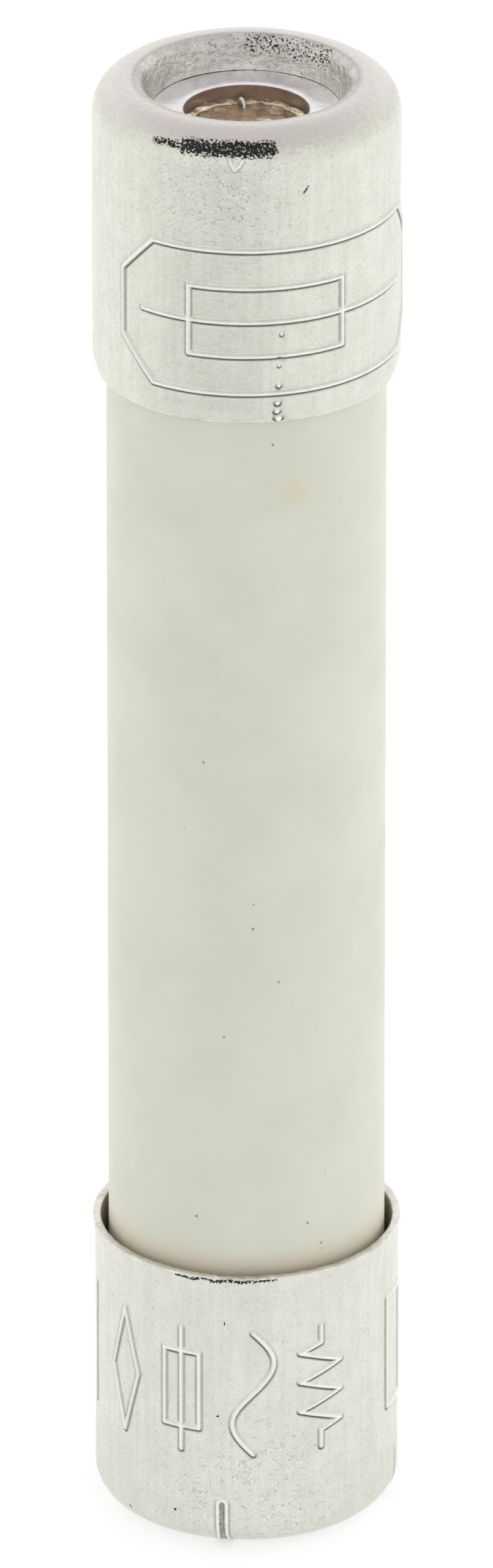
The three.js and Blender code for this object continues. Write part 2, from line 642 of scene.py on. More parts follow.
    def mesh(self, name: str) -> bpy.types.Mesh:
        """Makes the mesh, in metres and facing out, with the marks' stains, painted shade and
        painted highlights on it.

        Args:
            name: Name of the mesh.

        Returns:
            The mesh.
        """
        points, faces, zones = self.lattice()
        lattice = np.array(points, float) / self.split
        patch, normal = self.place(lattice[:, 0], lattice[:, 1])
        moved, stain_and_shade, painted_shading = (np.zeros(len(points)) for _ in range(3))
        known = ~np.isnan(patch.along)
        for mark in self.marks:
            around = patch.angle[known] * self.radius
            distance, lean = mark.distance(around, patch.along[known], self.turn)
            height, dark, relief_shading = mark.section.shape(distance, lean * self.down)
            moved[known] += height
            stain_and_shade[known] = np.maximum(stain_and_shade[known], dark)
            # Painted shade on the marks' sides, less painted highlight on their crests.
            painted_shading[known] += relief_shading
        if self.texture is not None:
            moved += self.texture(patch)
        patch.radius = patch.radius + moved * normal[:, 0]
        patch.height = patch.height + moved * normal[:, 1]
        mesh = bpy.data.meshes.new(name)
        mesh.from_pydata((patch.positions() * MM).tolist(), [], faces)
        mesh.polygons.foreach_set("material_index", [int(zone) for zone in zones])
        for layer, values in ((STAIN_AND_SHADE, stain_and_shade), (PAINTED_SHADING, painted_shading)):
            mesh.attributes.new(layer, "FLOAT", "POINT").data.foreach_set("value", values)
        if self.hand < 0:
            mesh.flip_normals()
        mesh.update()
        return mesh


# Pieces ---------------------------------------------------------------------------------


def piece_from(
    name: str, mesh: bpy.types.Mesh, finishes: Sequence["Finish"]
) -> bpy.types.Object:
    """Puts a mesh into the scene, with a material for each of its zones.

    Args:
        name: Name of the piece.
        mesh: Its mesh.
        finishes: Its finishes, in the order of its zones.

    Returns:
        The piece.
    """
    piece = bpy.data.objects.new(name, mesh)
    bpy.context.scene.collection.objects.link(piece)
    for finish in finishes:
        mesh.materials.append(finish.material())
    return piece


def smooth(mesh: bpy.types.Mesh, sharp: float = 55) -> None:
    """Shades a mesh smooth, apart from edges that turn by more than an angle.

    Args:
        mesh: The mesh.
        sharp: The angle, in degrees.
    """
    mesh.polygons.foreach_set("use_smooth", [True] * len(mesh.polygons))
    mesh.set_sharp_from_angle(angle=math.radians(sharp))


def apply_modifiers(piece: bpy.types.Object) -> None:
    """Replaces a piece's mesh with the one that its modifiers make.

    Args:
        piece: The piece.
    """
    shape = piece.evaluated_get(bpy.context.evaluated_depsgraph_get())
    mesh = bpy.data.meshes.new_from_object(shape)
    piece.modifiers.clear()
    piece.data = mesh


def hand_over(piece: bpy.types.Object, node: str) -> None:
    """Ties a piece to the CAD node that it stands for, and reports it.

    Args:
        piece: The piece.
        node: The node.
    """
    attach(piece, BODY)
    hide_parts(node)
    triangles = sum(len(face.vertices) - 2 for face in piece.data.polygons)
    log.info("%s: %d triangles", piece.name, triangles)


def swept(path: Sequence[Vector], radius: float, sides: int) -> bpy.types.Mesh:
    """Sweeps a round section along a path, with domed ends.

    Args:
        path: Points of the path, in millimetres.
        radius: Radius of the section.
        sides: Number of its sides.

    Returns:
        The mesh, in metres.
    """
    last = len(path) - 1
    tangents = [
        (path[min(i + 1, last)] - path[max(i - 1, 0)]).normalized()
        for i in range(len(path))
    ]
    dome = [(math.cos(a), math.sin(a)) for a in (0.5, 1.0, 1.4)]
    start, end = tangents[0], tangents[-1]
    stations = [
        (path[0] - start * radius * out, start, radius * across)
        for across, out in reversed(dome)
    ]
    stations += [(point, along, radius) for point, along in zip(path, tangents)]
    stations += [
        (path[-1] + end * radius * out, end, radius * across) for across, out in dome
    ]
    side = start.orthogonal().normalized()
    points: list[Vector] = []
    faces: list[list[int]] = []
    for centre, along, size in stations:
        side = (side - along * side.dot(along)).normalized()
        other = along.cross(side)
        first = len(points)
        for k in range(sides):
            angle = 2 * math.pi * k / sides
            points.append(centre + (side * math.cos(angle) + other * math.sin(angle)) * size)
        for k in range(sides if first else 0):
            after = (k + 1) % sides
            faces.append([first - sides + k, first - sides + after, first + after, first + k])
    faces.append(list(reversed(range(sides))))
    faces.append(list(range(len(points) - sides, len(points))))
    mesh = bpy.data.meshes.new("swept")
    mesh.from_pydata([point * MM for point in points], [], faces)
    mesh.update()
    return mesh


def flowing(points: Sequence[Vector], steps: int) -> list[Vector]:
    """Runs a smooth curve through points, spaced by the roots of their distances.

    Args:
        points: The points.
        steps: Steps between each two of them.

    Returns:
        Points along the curve.
    """
    chain = [points[0] * 2 - points[1], *points, points[-1] * 2 - points[-2]]
    path = []
    for p0, p1, p2, p3 in zip(chain, chain[1:], chain[2:], chain[3:]):
        t0 = 0.0
        t1 = t0 + math.sqrt((p1 - p0).length)
        t2 = t1 + math.sqrt((p2 - p1).length)
        t3 = t2 + math.sqrt((p3 - p2).length)
        for k in range(steps):
            t = t1 + (t2 - t1) * k / steps
            a1 = p0.lerp(p1, (t - t0) / (t1 - t0))
            a2 = p1.lerp(p2, (t - t1) / (t2 - t1))
            a3 = p2.lerp(p3, (t - t2) / (t3 - t2))
            b1 = a1.lerp(a2, (t - t0) / (t2 - t0))
            b2 = a2.lerp(a3, (t - t1) / (t3 - t1))
            path.append(b1.lerp(b2, (t - t1) / (t2 - t1)))
    return [*path, points[-1].copy()]


# Finishes -------------------------------------------------------------------------------


Value = float | Sequence[float] | bpy.types.NodeSocket


class Shader:
    """One node material in the making. Its lengths are in millimetres."""

    def __init__(self, name: str) -> None:
        """Starts a material with nothing but its surface shader.

        Args:
            name: Name of the material.
        """
        self.material = bpy.data.materials.new(name)
        self.material.use_nodes = True
        self.tree = self.material.node_tree
        self.surface = self.tree.nodes["Principled BSDF"]
        self.position = self.add("TexCoord", {}).outputs["Object"]

    def add(self, kind: str, inputs: dict[str | int, Value], **settings: str | bool) -> (
        bpy.types.Node
    ):
        """Adds a node.

        Args:
            kind: Last part of the node's type.
            inputs: What goes into its sockets, by name or number.
            settings: Its other properties.

        Returns:
            The node.
        """
        node = self.tree.nodes.new("ShaderNode" + kind)
        for key, value in settings.items():
            setattr(node, key, value)
        for key, value in inputs.items():
            self.put(node.inputs[key], value)
        return node

    def put(self, socket: bpy.types.NodeSocket, value: Value) -> None:
        """Links another socket into a socket, or sets its own value.

        Args:
            socket: The socket to fill.
            value: A socket to link into it, or its own value.
        """
        if isinstance(value, bpy.types.NodeSocket):
            self.tree.links.new(value, socket)
        else:
            socket.default_value = value

    def dress(self, **inputs: Value) -> None:
        """Sets the surface shader's sockets, named with _ for a space."""
        for key, value in inputs.items():
            self.put(self.surface.inputs[key.replace("_", " ")], value)

    def grain(
        self, size: float, detail: float = 2.0, stretch: Sequence[float] = (1, 1, 1)
    ) -> bpy.types.NodeSocket:
        """Adds soft noise.

        Args:
            size: Size of its lumps.
            detail: Number of finer layers in it.
            stretch: How much longer the lumps are along each axis.

        Returns:
            A value from 0 to 1, mostly near a half.
        """
        scale = [1 / (size * MM * part) for part in stretch]
        place = self.add("Mapping", {"Vector": self.position, "Scale": scale})
        inputs = {"Vector": place.outputs[0], "Scale": 1.0, "Detail": detail}
        return self.add("TexNoise", inputs).outputs[0]

    def cells(self, size: float) -> bpy.types.NodeSocket:
        """Adds cell noise.

        Args:
            size: Size of a cell.

        Returns:
            Distance from each cell's middle, 0 there and about 1 at its edge.
        """
        inputs = {"Vector": self.position, "Scale": 1 / (size * MM)}
        return self.add("TexVoronoi", inputs).outputs["Distance"]

    def spread(
        self, value: Value, low: float, high: float, start: float = 0.0, end: float = 1.0
    ) -> bpy.types.NodeSocket:
        """Stretches a range of a value smoothly over another range.

        Args:
            value: The value.
            low: Where its range starts.
            high: Where its range ends.
            start: What it becomes there at first.
            end: What it becomes there at last.

        Returns:
            The new value.
        """
        inputs = {
            "Value": value,
            "From Min": low,
            "From Max": high,
            "To Min": start,
            "To Max": end,
        }
        node = self.add("MapRange", inputs, interpolation_type="SMOOTHSTEP")
        return node.outputs[0]

    def math(self, operation: str, first: Value, second: Value) -> bpy.types.NodeSocket:
        """Combines two values, such as by MULTIPLY, ADD or MAXIMUM."""
        return self.add("Math", {0: first, 1: second}, operation=operation).outputs[0]

    def blend(self, share: Value, first: Value, second: Value) -> bpy.types.NodeSocket:
        """Blends two colours.

        Args:
            share: Share of the second one.
            first: First colour.
            second: Second colour.

        Returns:
            The blended colour.
        """
        colours = [
            (*value, 1.0) if isinstance(value, tuple) else value for value in (first, second)
        ]
        inputs = {0: share, 6: colours[0], 7: colours[1]}
        return self.add("Mix", inputs, data_type="RGBA").outputs[2]

    def bump(
        self, height: Value, depth: float, under: bpy.types.NodeSocket | None = None
    ) -> bpy.types.NodeSocket:
        """Turns a value into fine relief.

        Args:
            height: The value.
            depth: Depth of the relief where the value goes from 0 to 1.
            under: Relief that this one lies on.

        Returns:
            The normal.
        """
        inputs: dict[str | int, Value] = {"Height": height, "Distance": depth * MM}
        if under is not None:
            inputs["Normal"] = under
        return self.add("Bump", inputs).outputs[0]

    def attribute(self, name: str) -> bpy.types.NodeSocket:
        """Reads a value that the mesh carries."""
        return self.add("Attribute", {}, attribute_name=name).outputs["Fac"]

    def axis_distance(self) -> bpy.types.NodeSocket:
        """Gives the distance from the fuse's axis, in metres."""
        inputs = {0: self.position, 1: (1.0, 1.0, 0.0)}
        flat = self.add("VectorMath", inputs, operation="MULTIPLY").outputs[0]
        return self.add("VectorMath", {0: flat}, operation="LENGTH").outputs["Value"]

    def near(self, centre: Sequence[float], radius: float) -> bpy.types.NodeSocket:
        """Marks what lies near a point.

        Args:
            centre: The point.
            radius: Distance at which the mark has faded.

        Returns:
            1 at the point, falling to 0.
        """
        inputs = {0: self.position, 1: [part * MM for part in centre]}
        gap = self.add("VectorMath", inputs, operation="DISTANCE").outputs["Value"]
        return self.spread(gap, 0.0, radius * MM, 1.0, 0.0)


@dataclass(frozen=True)
class Finish:
    """What all finishes share.

    Attributes:
        name: Name of the material.
        colour: Main colour.
        roughness: Least roughness.
    """

    name: str
    colour: Colour
    roughness: float

    def material(self) -> bpy.types.Material:
        """Gives the material, made the first time that it is asked for."""
        made = bpy.data.materials.get(self.name)
        if made is None:
            shader = Shader(self.name)
            self.build(shader)
            made = shader.material
        return made

    def build(self, shader: Shader) -> None:
        """Builds the node material.

        Args:
            shader: The material in the making.
        """
        raise NotImplementedError


@dataclass(frozen=True)
class Plating(Finish):
    """Satin metal plating on drawn sheet, mottled and finely pitted.

    Attributes:
        shade: Colour of its darker mottling.
        dark_stain_and_shade: Colour of its stains, and of the painted shade and painted
            reflections laid on the same way.
        glint: Colour of its painted highlights: the sparks in stains and painted reflections, the
            bright wrinkle lines, and the marks' crests.
        pitting: Depth of its fine relief, in millimetres.
        speckle: How much of it the dark specks take up, from 0 to 1.
        crown: Radii between which it turns warmer towards the axis, in millimetres.
        crown_colour: What it turns to.
        throat: Radii between which it darkens further in, as painted shade where the lip rolls
            into the recess.
        throat_shade: Colour of that painted shade.
        rough_spots: Middle and radius of the places where the painted crease shade and highlight
            lines of its wrinkled skin are strongest.
    """

    shade: Colour
    dark_stain_and_shade: Colour = (0.03, 0.03, 0.028)
    glint: Colour = (0.9, 0.9, 0.86)
    pitting: float = 0.0012
    speckle: float = 0.5
    crown: Point = (3.08, 2.75)
    crown_colour: Colour = (0.755, 0.74, 0.70)
    throat: Point | None = None
    throat_shade: Colour = (0.52, 0.51, 0.475)
    rough_spots: Sequence[tuple[Sequence[float], float]] = ()

    def build(self, shader: Shader) -> None:
        """Builds mottled metal with specks, stains, fine relief, and painted shade and
        highlights.

        Args:
            shader: The material in the making.
        """
        mottle = shader.spread(shader.grain(0.55, 4.0), 0.36, 0.66)
        colour = shader.blend(mottle, self.shade, self.colour)
        fleck = shader.grain(0.07, 3.0)
        speck = shader.spread(fleck, 0.36, 0.28)
        tint_share = shader.math("MULTIPLY", speck, self.speckle)
        colour = shader.blend(tint_share, colour, tuple(part * 0.35 for part in self.shade))
        drawn = shader.spread(shader.grain(0.14, 2.0, (1.0, 1.0, 16.0)), 0.35, 0.65)
        drawn = shader.math("MULTIPLY", drawn, 0.1)
        colour = shader.blend(drawn, colour, tuple(part * 0.5 for part in self.shade))
        # Wrinkles: relief from this noise, and thin painted lines of crease shade and highlight
        # along it.
        peel = shader.grain(0.10, 2.5, (1.6, 1.6, 1.0))
        wrinkle_shading: Value = 0.3
        for centre, radius in self.rough_spots:
            wrinkle_shading = shader.math("MAXIMUM", wrinkle_shading, shader.near(centre, radius))
        crease_shade = tuple(part * 0.3 for part in self.shade)
        for level, tone in zip(FOLD_LEVELS, (crease_shade, self.glint)):
            away = shader.math("ABSOLUTE", shader.math("SUBTRACT", peel, level), 0.0)
            fold = shader.math("MULTIPLY", shader.spread(away, 0.03, 0.0), wrinkle_shading)
            colour = shader.blend(shader.math("MULTIPLY", fold, FOLD_SHARE), colour, tone)
        # Towards the axis: a warmer tone on the crown, then painted shade where the lip rolls
        # into the recess.
        if self.throat is not None:
            radius = shader.axis_distance()
            for (outer, inner), tone in (
                (self.crown, self.crown_colour),
                (self.throat, self.throat_shade),
            ):
                inside = shader.spread(radius, outer * MM, inner * MM)
                colour = shader.blend(inside, colour, tone)
        # Painted shade along the lower sides of raised marks, and a painted highlight on their
        # crests.
        relief_shading = shader.attribute(PAINTED_SHADING)
        colour = shader.blend(relief_shading, colour, tuple(part * 0.18 for part in self.shade))
        shine = shader.math("MULTIPLY", relief_shading, -1.0)
        colour = shader.blend(shine, colour, self.glint)
        # Stains, with painted shade and painted reflections laid on the same way; the bright
        # sparks in them are painted glints.
        grit = shader.grain(0.045, 2.0)
        ragged = shader.spread(grit, 0.3, 0.7, -0.45, 0.45)
        stain_and_shade = shader.math("ADD", shader.attribute(STAIN_AND_SHADE), ragged)
        stain_and_shade = shader.spread(stain_and_shade, 0.42, 0.8)
        stain_and_shade = shader.math("MULTIPLY", stain_and_shade, shader.spread(shader.attribute(STAIN_AND_SHADE), 0.0, 0.1))
        spark = shader.math("MULTIPLY", shader.spread(grit, 0.3, 0.25), 0.9)
        colour = shader.blend(stain_and_shade, colour, shader.blend(spark, self.dark_stain_and_shade, self.glint))
        rough = shader.spread(fleck, 0.3, 0.7, self.roughness + 0.16, self.roughness)
        relief = shader.bump(peel, self.pitting * 14.0)
        relief = shader.bump(fleck, self.pitting, relief)
        shader.dress(Base_Color=colour, Metallic=1.0, Roughness=rough, Normal=relief)


@dataclass(frozen=True)
class Ceramic(Finish):
    """Matte unglazed ceramic with fine grains and a few dark specks.

    Attributes:
        shade: Colour of its darker clouds.
        warm_spot: Place of a faint yellow spot, in millimetres.
        warm_colour: Colour of that spot.
        low_tint_band: Heights between which it turns darker and warmer downwards, in millimetres.
        low_tint_colour: Colour that it turns to there.
        low_tint_share: How much of that colour it takes at the bottom.
    """

    shade: Colour
    warm_spot: Sequence[float]
    warm_colour: Colour = (0.62, 0.58, 0.36)
    low_tint_band: Point = (6.95, 6.3)
    low_tint_colour: Colour = (0.60, 0.52, 0.38)
    low_tint_share: float = 0.65

    def build(self, shader: Shader) -> None:
        """Builds clouded ceramic.

        Args:
            shader: The material in the making.
        """
        cloud = shader.spread(shader.grain(1.6, 3.0), 0.3, 0.7)
        colour = shader.blend(cloud, self.shade, self.colour)
        spot = shader.math("MULTIPLY", shader.near(self.warm_spot, 0.42), 0.5)
        colour = shader.blend(spot, colour, self.warm_colour)
        # Darker and warmer towards the lower cap.
        height = shader.add("SeparateXYZ", {0: shader.position}).outputs["Z"]
        tint_share = shader.spread(height, self.low_tint_band[0] * MM, self.low_tint_band[1] * MM, 0.0, self.low_tint_share)
        colour = shader.blend(tint_share, colour, self.low_tint_colour)
        speck = shader.spread(shader.grain(0.11, 2.0), 0.27, 0.2, 0.0, 0.35)
        speck = shader.math("MAXIMUM", speck, shader.attribute(STAIN_AND_SHADE))
        colour = shader.blend(speck, colour, (0.16, 0.14, 0.11))
        fine = shader.grain(0.035, 3.0)
        rough = shader.spread(fine, 0.3, 0.7, self.roughness + 0.1, self.roughness)
        relief = shader.bump(shader.grain(0.3, 2.0), 0.003)
        relief = shader.bump(fine, 0.0012, relief)
        shader.dress(Base_Color=colour, Roughness=rough, Normal=relief)
        shader.dress(Specular_IOR_Level=0.45, Sheen_Weight=0.12, Sheen_Roughness=0.3)


@dataclass(frozen=True)
class Silvering(Finish):
    """Bright silvered metal with soft dents, tarnish and dark specks.

    Attributes:
        shade: Colour of its tarnish.
    """

    shade: Colour

    def build(self, shader: Shader) -> None:
        """Builds dented silver.

        Args:
            shader: The material in the making.
        """
        fleck = shader.grain(0.06, 3.0)
        tarnish = shader.spread(shader.grain(0.3, 4.0), 0.4, 0.72)
        colour = shader.blend(tarnish, self.colour, self.shade)
        speck = shader.spread(fleck, 0.3, 0.24)
        colour = shader.blend(speck, colour, tuple(part * 0.3 for part in self.shade))
        rough = shader.spread(fleck, 0.3, 0.7, self.roughness + 0.1, self.roughness)
        relief = shader.bump(shader.grain(0.2, 3.0), 0.005)
        relief = shader.bump(fleck, 0.0004, relief)
        shader.dress(Base_Color=colour, Metallic=1.0, Roughness=rough, Normal=relief)


@dataclass(frozen=True)
class Solder(Finish):
    """Lumpy metal, from bright copper to dull brown.

    Attributes:
        shade: Its dull colour.
        lump: Size of its lumps, in millimetres.
    """

    shade: Colour
    lump: float = 0.16

    def build(self, shader: Shader) -> None:
        """Builds lumpy metal in two colours.

        Args:
            shader: The material in the making.
        """
        mix = shader.spread(shader.grain(self.lump * 1.4, 3.0), 0.38, 0.62)
        colour = shader.blend(mix, self.shade, self.colour)
        fine = shader.grain(self.lump * 0.4, 3.0)
        rough = shader.spread(fine, 0.3, 0.7, self.roughness, self.roughness + 0.25)
        relief = shader.bump(shader.grain(self.lump, 3.0), 0.012)
        relief = shader.bump(fine, 0.003, relief)
        shader.dress(Base_Color=colour, Metallic=1.0, Roughness=rough, Normal=relief)


@dataclass(frozen=True)
class Rosin(Finish):
    """Clear amber rosin with a glassy skin and a few cloudy streaks."""

    def build(self, shader: Shader) -> None:
        """Builds clear amber.

        Args:
            shader: The material in the making.
        """
        streak = shader.spread(shader.grain(0.25, 3.0, (1.0, 2.2, 1.0)), 0.45, 0.75)
        deep = tuple(part * 0.55 for part in self.colour)
        colour = shader.blend(streak, self.colour, deep)
        relief = shader.bump(shader.grain(0.12, 2.0), 0.008)
        shader.dress(Base_Color=colour, Normal=relief, Roughness=self.roughness)
        shader.dress(Transmission_Weight=0.9, IOR=1.53)


@dataclass(frozen=True)
class TinnedWire(Finish):
    """Tinned wire with drawing lines along it."""

    def build(self, shader: Shader) -> None:
        """Builds drawn wire.

        Args:
            shader: The material in the making.
        """
        lines = shader.grain(0.03, 2.0, (1.0, 1.0, 9.0))
        dull = shader.spread(shader.grain(0.2, 2.0), 0.35, 0.7)
        colour = shader.blend(dull, self.colour, tuple(part * 0.7 for part in self.colour))
        rough = shader.spread(lines, 0.3, 0.7, self.roughness, self.roughness + 0.15)
        relief = shader.bump(lines, 0.0015)
        shader.dress(Base_Color=colour, Metallic=1.0, Roughness=rough, Normal=relief)


@dataclass(frozen=True)
class PressedFibre(Finish):
    """Pressed fibre board, flecked and matted.

    Attributes:
        shade: Colour of its darker fibres.
    """

    shade: Colour

    def build(self, shader: Shader) -> None:
        """Builds matted fibres.

        Args:
            shader: The material in the making.
        """
        along = shader.grain(0.05, 3.0, (6.0, 1.0, 1.0))
        across = shader.grain(0.05, 3.0, (1.0, 6.0, 1.0))
        fibre = shader.math("MAXIMUM", along, across)
        colour = shader.blend(shader.spread(fibre, 0.45, 0.7), self.shade, self.colour)
        relief = shader.bump(fibre, 0.02)
        shader.dress(Base_Color=colour, Roughness=self.roughness, Normal=relief)


@dataclass(frozen=True)
class QuartzSand(Finish):
    """Packed quartz sand, each grain a little different.

    Attributes:
        grain_size: Size of a grain, in millimetres.
        dark_grain: Colour of the darkest grains.
    """

    dark_grain: Colour
    grain_size: float = 0.25

    def build(self, shader: Shader) -> None:
        """Builds packed grains.

        Args:
            shader: The material in the making.
        """
        gap = shader.cells(self.grain_size)
        tint = shader.spread(shader.grain(self.grain_size, 1.0), 0.35, 0.65)
        colour = shader.blend(tint, self.dark_grain, self.colour)
        relief = shader.bump(gap, -0.08)
        rough = shader.spread(gap, 0.0, 0.6, self.roughness, 0.95)
        shader.dress(Base_Color=colour, Roughness=rough, Normal=relief)


@dataclass(frozen=True)
class StudioFloor(Finish):
    """Plain pale floor, softly shaded in front of the fuse, where the metal sees it.

    Attributes:
        grey: Colour in the middle of the shaded part.
        shaded: Place of that middle, in millimetres.
        reach: Distance from there at which the floor is plain again.
        under: Radii between which the floor under the fuse turns dark, a painted shadow.
        glow: Light that the floor gives off itself.
    """

    grey: Colour
    shaded: Sequence[float]
    reach: float
    under: Point
    glow: float

    def build(self, shader: Shader) -> None:
        """Builds the floor.

        Args:
            shader: The material in the making.
        """
        outer, inner = self.under
        # Painted shadow: the floor turns dark under the fuse.
        covered = shader.spread(shader.axis_distance(), outer * MM, inner * MM)
        mottle = shader.spread(shader.grain(30.0, 2.0), 0.3, 0.7, 0.0, 0.02)
        colour = shader.blend(shader.near(self.shaded, self.reach), self.colour, self.grey)
        colour = shader.blend(mottle, colour, self.grey)
        colour = shader.blend(covered, colour, (0.02, 0.02, 0.02))
        shader.dress(Base_Color=colour, Emission_Color=colour)
        shader.dress(Roughness=self.roughness, Emission_Strength=self.glow)
        shader.dress(Specular_IOR_Level=0.0)


# Painted highlight: brighter plating on the mouths' rims, so that they show as bright lines.
EDGE_HIGHLIGHT_PLATING = Plating(
    name="edge_highlight_plating",
    colour=(0.93, 0.93, 0.87),
    roughness=0.3,
    shade=(0.74, 0.74, 0.69),
    speckle=0.3,
)
CAP_PLATING = Plating(
    name="cap_plating",
    colour=(0.70, 0.71, 0.635),
    roughness=0.27,
    shade=(0.665, 0.675, 0.60),
    speckle=0.25,
    throat=(2.42, 2.25),
    rough_spots=(((-0.4, -3.1, 30.6), 3.0), ((0.2, -3.1, 1.3), 3.6)),
)
# Painted light: a brighter copy of the cap plating for the lower cap, which catches more light
# from the floor.
LOWER_LIT_PLATING = replace(
    CAP_PLATING, name="lower_cap_lit_plating", colour=(0.73, 0.74, 0.67), shade=(0.695, 0.705, 0.635)
)
FUNNEL_PLATING = Plating(
    name="funnel_plating",
    colour=(0.76, 0.75, 0.70),
    roughness=0.34,
    shade=(0.60, 0.59, 0.55),
    pitting=0.003,
    speckle=1.0,
)
TUBE_CERAMIC = Ceramic(
    name="tube_ceramic",
    colour=(0.645, 0.66, 0.562),
    roughness=0.62,
    shade=(0.61, 0.625, 0.528),
    warm_spot=(1.003, -2.684, 23.95),
)
RING_SILVER = Silvering(
    name="ring_silver", colour=(0.97, 0.97, 0.99), roughness=0.22, shade=(0.86, 0.86, 0.89)
)
HOLE_WALL = Silvering(
    name="hole_wall", colour=(0.50, 0.42, 0.38), roughness=0.34, shade=(0.42, 0.35, 0.31)
)
COPPER_SOLDER = Solder(
    name="copper_solder", colour=(0.88, 0.64, 0.54), roughness=0.3, shade=(0.60, 0.40, 0.30)
)
AMBER_ROSIN = Rosin(name="amber_rosin", colour=(0.94, 0.82, 0.60), roughness=0.06)
WIRE_TIN = TinnedWire(name="wire_tin", colour=(0.84, 0.81, 0.78), roughness=0.24)
WASHER_FIBRE = PressedFibre(
    name="washer_fibre", colour=(0.50, 0.42, 0.28), roughness=0.9, shade=(0.32, 0.25, 0.15)
)
QUARTZ_SAND = QuartzSand(
    name="quartz_sand",
    colour=(0.80, 0.77, 0.69),
    roughness=0.45,
    dark_grain=(0.55, 0.49, 0.40),
)
FLOOR = StudioFloor(
    name="floor",
    colour=(0.62, 0.62, 0.62),
    roughness=1.0,
    grey=(0.44, 0.44, 0.435),
    shaded=(-26.0, -60.0, 0.0),
    reach=88.0,
    under=(2.5, 2.3),
    glow=0.92,
)


# Sub-assemblies -------------------------------------------------------------------------


# Raised lines, with painted shade along their lower sides and a painted highlight on their
# crests.
RIDGE = Section(width=0.048, rise=0.042, foot=-0.014, painted_shading=1.4, painted_highlight=0.8)
FINE_RIDGE = Section(width=0.046, rise=0.04, foot=-0.014, painted_shading=1.6, painted_highlight=0.8)


